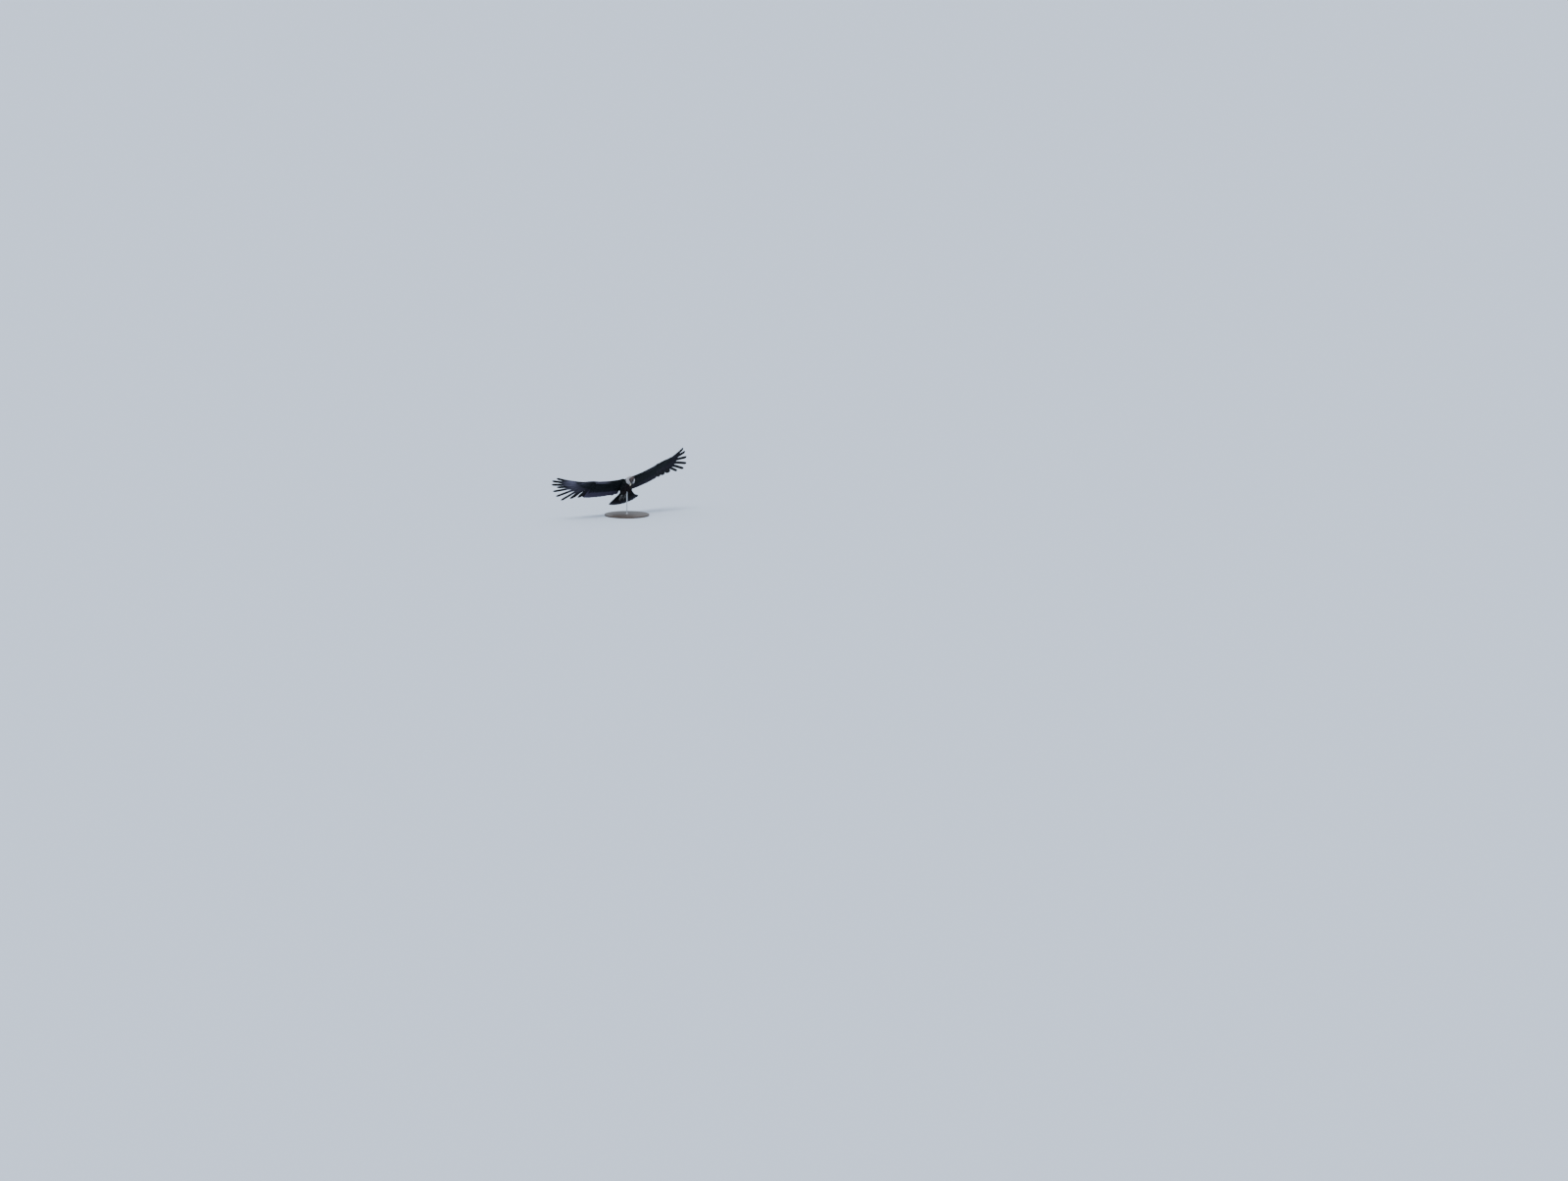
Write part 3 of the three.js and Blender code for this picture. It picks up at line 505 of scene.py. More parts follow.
def vane_blank(name, rows, half_columns, tip_rows=4):
    """Closed leaf, share 0 to 1 along it and across -1 to 1, with more points near tip and rims."""
    tip = 1 - BLANK_TIP * (1 - np.linspace(0, 1, tip_rows + 1)[1:]) ** 1.6
    shares = np.concatenate([np.linspace(0, BLANK_BODY, rows), tip])
    wide = np.array([-w for w in half_columns[::-1]] + [0.0] + list(half_columns))
    grid, across = np.meshgrid(shares, wide, indexing="ij")
    numbers = np.arange(grid.size).reshape(grid.shape)
    rim = np.ones(grid.shape, bool)
    rim[1:-1, 1:-1] = False
    below = np.where(rim, numbers, grid.size + np.cumsum(~rim.ravel()).reshape(grid.shape) - 1)
    points = np.vstack([np.stack([across.ravel(), grid.ravel(), 0 * grid.ravel()], 1),
                        np.stack([across[~rim], grid[~rim], -0.1 + 0 * grid[~rim]], 1)])
    side = np.concatenate([np.where(rim.ravel(), 0.0, 1.0), -np.ones((~rim).sum())])
    faces, spots = [], []
    for i in range(grid.shape[0] - 1):
        for j in range(grid.shape[1] - 1):
            corner = [(i, j), (i, j + 1), (i + 1, j + 1), (i + 1, j)]
            faces.append([int(numbers[c]) for c in corner])
            spots += [(0.25 * (across[c] + 1), grid[c]) for c in corner]
            faces.append([int(below[c]) for c in reversed(corner)])
            spots += [(1 - 0.25 * (across[c] + 1), grid[c]) for c in reversed(corner)]
    data = bpy.data.meshes.new(name)
    data.from_pydata(points.tolist(), [], faces)
    for label, values in (("share", points[:, 1]), ("across", points[:, 0]), ("side", side)):
        keep(data, label, "FLOAT", values)
    data.uv_layers.new(name="vane").data.foreach_set("uv", np.array(spots, np.float32).ravel())
    return link_up(name, data)


BLANKS = {"flight": vane_blank("blank_flight", 56, (0.06, 0.5, 0.96, 1.0), 8),
          "covert": vane_blank("blank_covert", 12, (0.5, 0.92, 1.0), 5),
          "small": vane_blank("blank_small", 6, (0.5, 0.90, 1.0), 4),
          "down": vane_blank("blank_down", 6, (1.0,), 2)}
for blank in BLANKS.values():
    print(blank.name, 2 * len(blank.data.polygons), "triangles")

# %% Laying vanes on quills
def between(first, last, share):
    return first + (last - first) * share


def ramp_tint(shares, stops):
    """Tints along a feather from stops of share and colour."""
    return columns_at(shares, [s for s, _ in stops], [c for _, c in stops])


def quill(at, face, webs, thick, form, spot, over, under=1.0):
    """
    One feather's row of points and what the tree reads there: facing, half width of one or both
    webs, thickness, form (roll, camber, lift of the tip), place on the coat's map, and tints as
    stops of share and colour. The under tints may be a share of the upper ones instead.
    """
    shares = np.linspace(0, 1, len(at))
    plus, minus = webs if isinstance(webs, tuple) else (webs, webs)
    upper = ramp_tint(shares, over)
    lower = upper * under if isinstance(under, float) else ramp_tint(shares, under)
    return {"at": at, "face": np.broadcast_to(face, (len(at), 3)),
            "webs": np.stack([plus, minus, np.broadcast_to(thick, shares.shape)], -1),
            "form": np.tile(form, (len(at), 1)), "spot": spot, "over": upper, "under": lower}


def quill_mesh(name, quills):
    """Mesh of one chain of points for each quill, with what the tree reads kept on the points."""
    rows = {label: np.stack([one[label] for one in quills]) for label in quills[0]}
    places, spots = rows.pop("at"), rows.pop("spot")
    number, steps = places.shape[:2]
    data = bpy.data.meshes.new(name)
    first = np.arange(number)[:, None] * steps + np.arange(steps - 1)[None]
    edges = np.stack([first, first + 1], -1).reshape(-1, 2)
    data.from_pydata(to_row(places.reshape(-1, 3)).tolist(), edges.tolist(), [])
    rows["face"] = rows["face"] @ BIRD_AXES.T
    length = np.linalg.norm(np.diff(places, axis=1), axis=-1).sum(1)
    rows["root"] = np.column_stack([spots, length])[:, None]
    for label, value in rows.items():
        keep(data, label, "FLOAT_VECTOR", np.broadcast_to(value, (number, steps, 3)))
    return link_up(name, data)


def settle(carrier, name):
    """Turns an evaluated object into a plain mesh object of its own, and removes the old one."""
    seen = carrier.evaluated_get(bpy.context.evaluated_depsgraph_get())
    data = bpy.data.meshes.new_from_object(seen)
    data.name = name
    bpy.data.objects.remove(carrier)
    return link_up(name, data)


def run_tree(carrier, name, tree, **values):
    """Puts a tree on an object, with its inputs set by their sockets' identifiers, and settles it."""
    modifier = carrier.modifiers.new("tree", "NODES")
    modifier.node_group = tree
    wanted = {title.replace("_", " "): value for title, value in values.items()}
    for item in tree.interface.items_tree:
        if item.item_type == "SOCKET" and item.in_out == "INPUT" and item.name in wanted:
            modifier[item.identifier] = wanted.pop(item.name)
    assert not wanted, wanted
    return settle(carrier, name)


def ride_root(piece, slot, *nodes, finish=None):
    if finish:
        piece.data.materials.append(finish)
    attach(piece, "root")
    if nodes:
        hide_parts(*nodes)
    triangles = sum(len(p.vertices) - 2 for p in piece.data.polygons)
    print(piece.name, triangles, "triangles")
    return piece


COAT_PATCH = (0.003, 0.003)  # size of a small feather on the coat's map


def lay_vanes(name, quills, blank, material, ragged=0.06, split=0.0, ridge=0.0003, round_tip=1.0,
              fringe=0.9, patch=COAT_PATCH, seed=1.0):
    piece = run_tree(quill_mesh(name + "_quills", quills), name, VANE_TREE, Blank=BLANKS[blank],
                     Material=material, Ragged_edge=ragged, Split=split, Ridge=ridge,
                     Round_tip=round_tip, Fringe=fringe, Patch=(*patch, 0.0), Seed=seed)
    for label in ("share", "across", "side", "feather"):
        if label in piece.data.attributes:
            piece.data.attributes.remove(piece.data.attributes[label])
    return piece


print("quills are turned into vanes by lay_vanes")

# %% [markdown]
# ## Finishes
# Feathers take their colour from the tint that each quill carries, so that one finish serves black
# finger feathers and white down. A picture of feathers would smear on bent vanes. The fine barbs
# are worked out from the place on the web instead: they slant from the shaft towards the tip.

# %% Feather finish
FEATHER_SHINE, BARB_SLANT = 0.02, 0.9


def attribute_field(tree, name, output="Color"):
    made = node(tree, "ShaderNodeAttribute", attribute_name=name)
    return Field(tree, made.outputs[output])


def object_place(tree, scale=1.0):
    return Field(tree, tree.nodes.new("ShaderNodeTexCoord").outputs["Object"]) * scale


def mixed_colour(tree, share, first, second):
    made = node(tree, "ShaderNodeMix", {0: share, 6: (*first, 1.0), 7: (*second, 1.0)}, data_type="RGBA")
    return Field(tree, made.outputs[2])


def drive(tree, shader, height, strength, distance, **fields):
    """Links fields to the inputs of a shader, and a height to its normal through a bump."""
    for title, field in fields.items():
        plug(tree, shader.inputs[input_title(title)], field)
    bump = result(tree, "ShaderNodeBump", {"Strength": strength, "Distance": distance, "Height": height})
    tree.links.new(bump, shader.inputs["Normal"])


def feather_finish(name, roughness, shaft, shaft_width, sheen=0.0, barb_depth=0.0004, contrast=0.5):
    """Finish of webs with barbs that slant off the shaft; shaft is how much paler the shaft is."""
    material, tree, shader = new_material(name, roughness, FEATHER_SHINE, sheen_weight=sheen,
                                          sheen_roughness=0.4)
    across, along, number = attribute_field(tree, "web", "Vector").parts()
    slant = along - across.size() * BARB_SLANT
    streaks = vector(tree, slant * 300.0, across * 40.0, number * 3.7).noise()
    barbs = vector(tree, slant * 1500.0, across * 60.0, number * 1.3).noise()
    shade = streaks * contrast + barbs * contrast * 0.7 + (1.0 - 0.85 * contrast)
    on_shaft = ((across.size() / shaft_width * -1.0 + 1.0).at_least(0.0) * 3.0).at_most(1.0)
    drive(tree, shader, barbs + streaks * 0.7, 0.8, barb_depth,
          base_color=attribute_field(tree, "tint") * (shade + on_shaft * shaft),
          roughness=streaks * 0.35 + barbs * 0.25 + (roughness - 0.30))
    return material


FLIGHT_FINISH = feather_finish("flight_feather", 0.50, 0.7, 0.0015, barb_depth=0.0005, contrast=0.7)
COAT_FINISH = feather_finish("contour_feather", 0.62, 0.3, 0.0006, barb_depth=0.0006, contrast=1.0)
DOWN_FINISH = feather_finish("down", 0.85, 0.0, 0.0004, sheen=0.4, barb_depth=0.0008, contrast=0.25)
print("feather finishes:", [m.name for m in (FLIGHT_FINISH, COAT_FINISH, DOWN_FINISH)])

# %% [markdown]
# ## Flight feathers
# Ten primaries fan out from the hand and the outer ones are narrowed past their middle, which
# parts the wing tip into fingers. The secondaries stand side by side along the arm. They could all
# be copies of one feather, but each finger of the bird points and bends its own way, so each has
# its own row of angle, length and bend. From below the trailing half of the secondaries is grey,
# partly their own colour and partly painted sheen, and it is painted darker on the left wing as shade. A
# painted lilac sheen lies at the bases of the primaries below.

# %% Primaries and secondaries
PRIMARIES = {  # from the wrist out: degrees from straight back, length, upward bend
    "right": [(14, 0.414, 0.06), (22, 0.444, 0.04), (37, 0.512, -0.03), (47.5, 0.608, -0.08),
              (55, 0.632, 0.06), (62, 0.636, 0.22), (67, 0.540, 0.30), (79, 0.620, 0.20),
              (84.5, 0.596, 0.29), (92, 0.515, 0.30)],
    "left": [(12, 0.418, 0.03), (19.5, 0.446, 0.0), (28, 0.468, -0.05), (38, 0.512, -0.10),
             (45, 0.614, -0.17), (52.5, 0.658, -0.28), (59.5, 0.668, -0.19), (65.5, 0.658, 0.0),
             (71, 0.624, 0.20), (76.5, 0.560, 0.34)],
}
FIRST_FINGER = {"right": 3, "left": 4}
BROAD_SCALE = {"right": 1.10, "left": 1.42}
# Grey band under the secondaries: painted darker on the left wing, as painted shade.
BAND_PAINTED_SHADE = {"right": 1.0, "left": 0.30}
PRIMARY_ROOTS = (0.650, 0.860)
SECONDARY_ROOTS = (0.634, 0.084)
SECONDARY_COUNT, SECONDARY_ANGLES, SECONDARY_BEND = 25, (12, 1), 0.02
LONG_SECONDARY, LONG_EXTRA = 21, 0.018
BEND_POWER, SHINGLE = 0.8, 0.08
FLIGHT_STEPS = 18
FINGER_LONGER = 1.035
FINGER_TWIST = {  # radians at the finger's own part, from the wrist out: the leading edge goes up
    "right": [0.0, 0.0, 0.0, 0.12, 0.15, 0.15, 0.15, 0.15, 0.12, 0.10],
    "left": [0.0, 0.0, 0.0, 0.0, 0.12, 0.15, 0.25, 0.40, 0.55, 0.60],
}
TWIST_PART = (0.25, 0.6)
finger_outer = table([[0, 0.004], [0.06, 0.006], [0.16, 0.020], [0.38, 0.023], [0.56, 0.020], [0.92, 0.019]])
finger_inner = table([[0, 0.004], [0.06, 0.012], [0.16, 0.040], [0.38, 0.050], [0.50, 0.043], [0.58, 0.034],
                      [0.92, 0.030]])
broad_outer = table([[0, 0.004], [0.06, 0.006], [0.16, 0.020], [0.88, 0.025], [1, 0.022]])
broad_inner = table([[0, 0.004], [0.06, 0.012], [0.16, 0.040], [0.88, 0.048], [1, 0.040]])
secondary_outer = table([[0, 0.004], [0.2, 0.015], [0.9, 0.020], [1, 0.018]])
secondary_inner = table([[0, 0.004], [0.2, 0.030], [0.9, 0.032], [1, 0.030]])
flight_thick = table([[0, 0.0045], [0.1, 0.003], [0.5, 0.0018], [1, 0.0010]])

# The down is white; its tint is lowered to a light grey as painted shade.
# The lilac is a painted sheen of sky light, not a colour of the feathers.
# The purple grey is the greyer underside of the flight feathers, partly their own colour and partly painted
# sheen.
BLACK, GREENISH_BLACK, BROWN_BLACK, GREY_WITH_PAINTED_SHEEN, TAIL_GREY, PAINTED_SHEEN_LILAC, PANEL_WHITE, DOWN_WHITE_IN_SHADE = np.array([
    [0.0085, 0.0082, 0.0092], [0.0068, 0.0086, 0.0094], [0.0125, 0.0096, 0.0094], [0.042, 0.037, 0.058],
    [0.022, 0.023, 0.030], [0.110, 0.104, 0.140], [0.62, 0.61, 0.58], [0.40, 0.40, 0.42]])
dice = np.random.default_rng(7)


def flight_quill(side, t, degrees, length, bend, outer, inner, over, under, spot, twist=0.0):
    shares = np.linspace(0, 1, FLIGHT_STEPS)
    flat, up = feather_axes(side, t, degrees)
    middle = bend * ((shares[1:] + shares[:-1]) / 2) ** BEND_POWER
    step = length * np.diff(shares)
    run = np.cumsum(flat * (np.cos(middle) * step)[:, None] + up * (np.sin(middle) * step)[:, None], axis=0)
    root = wing_point(side, np.array(t), quill_line(t), 0.0)
    angle = (bend * shares**BEND_POWER)[:, None]
    face = up * np.cos(angle) - flat * np.sin(angle)
    run_on = flat * np.cos(angle) + up * np.sin(angle)
    twist = np.interp(shares, TWIST_PART, [0, twist])[:, None]
    face = face * np.cos(twist) - np.cross(run_on, face) * SIDES[side] * np.sin(twist)
    webs = (outer(shares), inner(shares)) if side == "left" else (inner(shares), outer(shares))
    return quill(np.vstack([root, root + run]), face, webs, flight_thick(shares),
                 [SHINGLE * SIDES[side], 0.03, 0.0], spot, over, under)


def primary_span(i):
    return PRIMARY_ROOTS[0] + (PRIMARY_ROOTS[1] - PRIMARY_ROOTS[0]) * i / (len(PRIMARIES["left"]) - 1)


def primary_quills(side):
    rows, wide, first_finger = [], BROAD_SCALE[side], FIRST_FINGER[side]
    for i, (degrees, length, bend) in enumerate(PRIMARIES[side]):
        if i < first_finger:
            outer, inner = (lambda s: wide * broad_outer(s)), (lambda s: wide * broad_inner(s))
        else:
            outer, inner, length = finger_outer, finger_inner, length * FINGER_LONGER
        over = [(0, BLACK), (1, GREENISH_BLACK * 1.1)]
        # Painted sheen: a lilac tint at the bases of the primaries below, growing outwards on the right wing
        # and faint on the left.
        base = PAINTED_SHEEN_LILAC * (min(1.0, 0.05 + 0.10 * i) if side == "right" else 0.15)
        under = [(0.20, base * 0.5), (0.42, base), (0.60, base * 0.7), (0.74, BLACK * 1.3), (1, BLACK)]
        rows.append(flight_quill(side, primary_span(i), degrees, length, bend, outer, inner, over, under,
                                 (0.02 + 0.1 * i, 0.02), FINGER_TWIST[side][i]))
    return rows


def secondary_quills(side):
    # The grey of the trailing half below is partly the feathers' own colour and partly painted sheen; it is
    # painted darker on the left wing as shade.
    rows, grey = [], GREY_WITH_PAINTED_SHEEN * BAND_PAINTED_SHADE[side]
    under = [(0.3, GREENISH_BLACK), (0.50, grey * 0.5), (0.62, grey), (0.93, grey * 1.15), (1, grey * 0.6)]
    for i in range(SECONDARY_COUNT):
        share = i / (SECONDARY_COUNT - 1)
        t, degrees = between(*SECONDARY_ROOTS, share), between(*SECONDARY_ANGLES, share)
        reach = (float(quill_line(t)) + float(trail_edge(t))) / math.cos(math.radians(degrees))
        length = reach + (LONG_EXTRA if i == LONG_SECONDARY else 0) + dice.normal(0, 0.0025)
        white = PANEL_WHITE if 1 < i < 21 else BLACK * 2
        over = [(0.15, BLACK), (0.3, white), (0.90, white), (0.95, BLACK), (1, BLACK)]
        rows.append(flight_quill(side, t, degrees, length, SECONDARY_BEND, secondary_outer, secondary_inner,
                                 over, under, (0.01 + 0.039 * i, 0.02)))
    return rows


def make_flight_feathers(side):
    for name, quills, split, ridge, blunt, fringe, wide, seed, solid in (
            ("primaries_", primary_quills, 0.18, 0.0012, 2.2, 0.3, 0.090, 2.0, "wing_hand_"),
            ("secondaries_", secondary_quills, 0.22, 0.0009, 1.0, 0.2, 0.035, 5.0, "wing_arm_")):
        vanes = lay_vanes(name + side, quills(side), "flight", FLIGHT_FINISH, 0.05, split, ridge, blunt,
                          fringe, (wide, 0.9), seed)
        ride_root(vanes, "plumage", solid + side)


for side in SIDES:
    make_flight_feathers(side)

# %% [markdown]
# ## Coverts
# Short feathers lie like roof tiles over the roots of the flight feathers, on both faces of a wing.
# They are long at the back and get shorter row by row up to the leading edge. Rows of points on the
# wing's own curved space follow its flesh, so that no feather sinks in or floats. On an
# adult's upper side the greater coverts are white, and from below all of them are nearly black,
# with a painted lilac sheen near the leading edge.

# %% Coverts of the arm
COVERT_STEPS = 6
COVERT_SHARES = np.linspace(0, 1, COVERT_STEPS)
COVERT_FLOOR, TILE_POWER = 0.0025, 0.85
covert_thick = table([[0, 0.0009], [1, 0.0005]])
lean_angle = table([[0.08, 2], [0.634, 12], [0.76, 34], [0.87, 62]])
ARM_ROWS = [  # roots' and tips' share of the way from the leading edge to the back, lift, count, half
    ((0.62, 1.34), (0.0010, 0.0042), 27, 0.0175), ((0.44, 1.02), (0.0020, 0.0072), 29, 0.0170),
    ((0.46, 0.86), (0.0030, 0.0085), 31, 0.0160), ((0.36, 0.73), (0.0026, 0.0080), 32, 0.0155),
    ((0.27, 0.61), (0.0020, 0.0072), 33, 0.0150), ((0.19, 0.49), (0.0015, 0.0064), 34, 0.0145),
    ((0.12, 0.38), (0.0010, 0.0055), 36, 0.0138), ((0.07, 0.28), (0.0007, 0.0046), 40, 0.0125),
    ((0.035, 0.20), (0.0005, 0.0038), 46, 0.0108), ((0.012, 0.13), (0.0003, 0.0030), 54, 0.0094),
    ((-0.004, 0.075), (0.0, 0.0022), 62, 0.0082),
]
HAND_ROW = 10  # number that the hand's longest row has in covert_tint
ARM_BACK, PANEL_END = -0.135, 0.60
NOSE, NOSE_PITCH, NOSE_HALF = 0.012, 0.0105, 0.0092
NOSE_BACK = np.array([0.0070, 0.0015, 0.0, 0.0050, 0.0160, 0.0350])
NOSE_FOLD = np.array([0.5, 1.0, 1.5, 2.6, 3.0, 3.14])[:, None]
GREY_LINING = {"right": (0.15, 0.0), "left": (0.10, 0.0)}  # grey in the two longest rows below, partly their own colour and partly painted sheen; less on the left wing as painted shade
# How much painted lilac sheen the front of each wing gets.
FRONT_SHEEN_BY_SIDE = {"right": 1.0, "left": 0.25}
FRONT_SHEEN_ARM, FRONT_SHEEN_HAND = (0.30, 0.42), (0.69, 0.15)  # where the painted lilac sheen of the front starts, and how strong it is


def leaf(shares, half, widest, root, tip):
    """Half widths of a leaf-shaped feather, with the share of its length where it is widest."""
    return half * np.interp(shares, [0, widest, 1], [root, 1, tip])


def covert_stops(tone):
    return [(0, tone * 0.6), (0.4, tone), (1, tone)]


def tile_lift(shares, low, high):
    return between(low, high, shares**TILE_POWER) + dice.uniform(0, 0.0007)


def coat_piece(name, quills, seed, blank="covert", ragged=0.12, split=0.20, ridge=0.0003, round_tip=1.1):
    vanes = lay_vanes(name, quills, blank, COAT_FINISH, ragged, split, ridge, round_tip, seed=seed)
    return ride_root(vanes, "plumage")


def covert_tint(side, face, row, t):
    """Colour of a covert: black, with white long rows above and a painted lilac sheen near the leading edge
    below.
    """
    tone = GREENISH_BLACK * dice.uniform(0.8, 1.35)
    if face > 0 and row == 0 and t < PANEL_END:
        return PANEL_WHITE * dice.uniform(0.92, 1.05)
    # Painted sheen: the front rows are tinted towards lilac, mostly below and most on the right wing.
    starts, most = FRONT_SHEEN_HAND if row >= HAND_ROW else FRONT_SHEEN_ARM
    front_sheen = FRONT_SHEEN_BY_SIDE[side] * min(1.0, max(0.0, row - 8.0))
    pale = front_sheen * min(1.0, max(0.0, (t - starts) / 0.15)) * (most if face < 0 else 0.06)
    tone = between(tone, PAINTED_SHEEN_LILAC, pale)
    # The longest rows below are tinted a little grey, partly their own colour and partly painted sheen.
    if face < 0 and row < 2:
        tone = tone + (GREY_WITH_PAINTED_SHEEN - tone) * GREY_LINING[side][row] * dice.uniform(0.85, 1.0)
    return tone


def arm_row(side, face, row):
    shares = COVERT_SHARES
    (start, stop), (low, high), count, half = ARM_ROWS[row]
    reaches_hand, at_edge = row >= 8, row >= 9
    spans = np.linspace(0.072, 0.862 if reaches_hand else 0.630, count + (14 if reaches_hand else 0))
    spans = spans + (spans[1] - spans[0]) * (0.5 * (row % 2) + dice.normal(0, 0.12, len(spans)))
    webs = leaf(shares, half, 0.3, 1.0 if at_edge else 0.45, 0.95)
    rows = []
    for t in spans:
        front = float(lead_edge(t))
        at = between(start, stop, shares) + dice.normal(0, 0.002 if at_edge else 0.008)
        chord = front - at * (front - ARM_BACK)
        along = (chord[0] - chord) * math.tan(math.radians(float(lean_angle(t))) + dice.normal(0, 0.05))
        span = np.minimum(t + along / REACH[side], 1.05)
        lift = tile_lift(shares, low, high)
        floor = COVERT_FLOOR * np.clip((front - chord) / NOSE, 0, 1)
        deck = np.maximum(flesh_height(span, chord, face) * (span < 0.868), floor)
        tone = covert_tint(side, face, row, t)
        white = face > 0 and row == 0 and t < PANEL_END
        rows.append(quill(wing_point(side, span, chord, face * (deck + lift)),
                          face * on_line(side, span, "up"), webs, covert_thick(shares),
                          [0.09 * SIDES[side] * face + dice.normal(0, 0.03), 0.08, 0.0],
                          (t, 0.5 + face * (0.01 + 0.30 * (front - chord[0]) / 0.25)),
                          [(0.45, BLACK), (0.62, tone)] if white else covert_stops(tone), 0.7))
    return rows


def nose_row(side):
    """Feathers that start above the leading edge and fold under it, so that it has no seam."""
    rows, shares = [], COVERT_SHARES
    for t in np.arange(0.070, 0.866, NOSE_PITCH):
        t = t + dice.normal(0, 0.0015)
        front, depth = float(lead_edge(t)), float(flesh_depth(t))
        top, under = flesh_height(t, front - NOSE_BACK, 1), flesh_height(t, front - NOSE_BACK, -1)
        height = np.where(shares < 0.3, top + 0.0008, -under - 0.0012 - 0.0045 * shares)
        height[2] = -0.06 * depth - 0.0004
        fore, up = on_line(side, t, "fore"), on_line(side, t, "up")
        lean = math.tan(math.radians(float(lean_angle(t))))
        span = t + lean * (NOSE_BACK - NOSE_BACK[2]) * (shares > 0.3) / REACH[side]
        tone = covert_tint(side, -1, HAND_ROW - 1, t)
        rows.append(quill(wing_point(side, span, front - NOSE_BACK, height),
                          up * np.cos(NOSE_FOLD) + fore * np.sin(NOSE_FOLD),
                          leaf(shares, NOSE_HALF, 0.3, 0.9, 0.9), 0.0007,
                          [dice.normal(0, 0.05), 0.05, 0.0], (t, 0.5), [(0, tone)], 0.7))
    return rows


print("arm coverts:", sum(row[2] for row in ARM_ROWS), "on each face of a wing")

# %% Coverts of the hand
HAND_ROWS = [  # start and stop along the primary, lift, count, half width
    ((-0.030, 0.185), (0.0012, 0.0046), 19, 0.0165), ((-0.030, 0.135), (0.0024, 0.0068), 19, 0.0155),
    ((-0.020, 0.098), (0.0036, 0.0080), 19, 0.0145), ((-0.030, 0.070), (0.0036, 0.0084), 18, 0.0135),
    ((-0.040, 0.042), (0.0032, 0.0080), 17, 0.0125), ((-0.050, 0.016), (0.0026, 0.0072), 16, 0.0115),
]


def hand_path(side, number, distances):
    """Places and facing along the primary of that (fractional) number, and before its root."""
    rows = np.array(PRIMARIES[side])
    degrees, length, bend = columns_at(number, np.arange(len(rows)), rows)
    t, turn = primary_span(number), math.radians(degrees)
    flat, up = feather_axes(side, t, degrees)
    fine = np.linspace(0, 0.25, 26)
    angle = bend * (fine / length) ** BEND_POWER
    steps = (flat * np.cos(angle[1:, None]) + up * np.sin(angle[1:, None])) * np.diff(fine)[:, None]
    run = np.vstack([np.zeros(3), np.cumsum(steps, axis=0)])
    root = wing_point(side, np.array(t), quill_line(t), 0.0)
    ahead = root + columns_at(np.maximum(distances, 0), fine, run) + flat * np.minimum(distances, 0)[:, None]
    tilt = np.interp(distances, fine, angle)[:, None]
    span = t + distances * math.sin(turn) / REACH[side]
    chord = float(quill_line(t)) - distances * math.cos(turn)
    return ahead, up * np.cos(tilt) - flat * np.sin(tilt), span, chord


def hand_row(side, face, row):
    (start, stop), (low, high), count, half = HAND_ROWS[row]
    shares, degrees = COVERT_SHARES, [d for d, _, _ in PRIMARIES[side]]
    rows, pitch = [], 9.4 / (count - 1)
    for number in np.linspace(-0.4, 9.0, count) + pitch * 0.5 * (row % 2):
        reach = stop * (1 + dice.normal(0, 0.015)) * (1.0 - 0.03 * max(0.0, number - 6))
        t, slope = primary_span(number), math.cos(math.radians(np.interp(number, range(10), degrees)))
        room = (float(lead_edge(t)) - 0.004 - float(quill_line(t))) / max(slope, 0.05)
        first = max(start, -max(room, 0.004))
        at, normal, span, chord = hand_path(side, number, between(first, reach, shares))
        deck = np.maximum(flesh_height(np.clip(span, 0.06, 0.87), chord, face) * (span < 0.872), COVERT_FLOOR)
        lift = tile_lift(shares, low, high)
        tone = covert_tint(side, face, HAND_ROW + row, t)
        rows.append(quill(at + normal * (face * (deck + lift))[:, None], face * normal,
                          leaf(shares, half, 0.3, 0.45, 0.95), covert_thick(shares),
                          [0.09 * SIDES[side] * face, 0.10, 0.0],
                          (1.0 + 0.02 * number, 0.5 + face * (0.02 + 0.06 * row)), covert_stops(tone), 0.7))
    return rows


ALULA = [(0.0, 0.152, 62), (0.007, 0.134, 65), (0.014, 0.108, 69)]  # out from the wrist, length, degrees
ALULA_SPAN, ALULA_BACK, ALULA_LIFT, ALULA_HALF = 0.652, 0.020, 0.006, 0.016


def alula(side):
    """The thumb's stiff feathers, at the front of the hand's upper face."""
    shares, rows = COVERT_SHARES, []
    width = leaf(shares, ALULA_HALF, 0.25, 0.4, 0.8)
    webs = (0.6 * width, width) if side == "left" else (width, 0.6 * width)
    for i, (out_by, length, degrees) in enumerate(ALULA):
        t, turn = ALULA_SPAN + out_by, math.radians(degrees)
        chord = float(lead_edge(t)) - ALULA_BACK - shares * length * math.cos(turn)
        span = t + shares * length * math.sin(turn) / REACH[side]
        deck = np.maximum(flesh_height(span, chord, 1), COVERT_FLOOR)
        lift = ALULA_LIFT + 0.0022 * i + 0.002 * shares
        rows.append(quill(wing_point(side, span, chord, deck + lift), on_line(side, span, "up"), webs, 0.0016,
                          [0.0, 0.12, 0.0], (1.25, 0.5 + 0.01 * i), [(0, BLACK)]))
    return rows


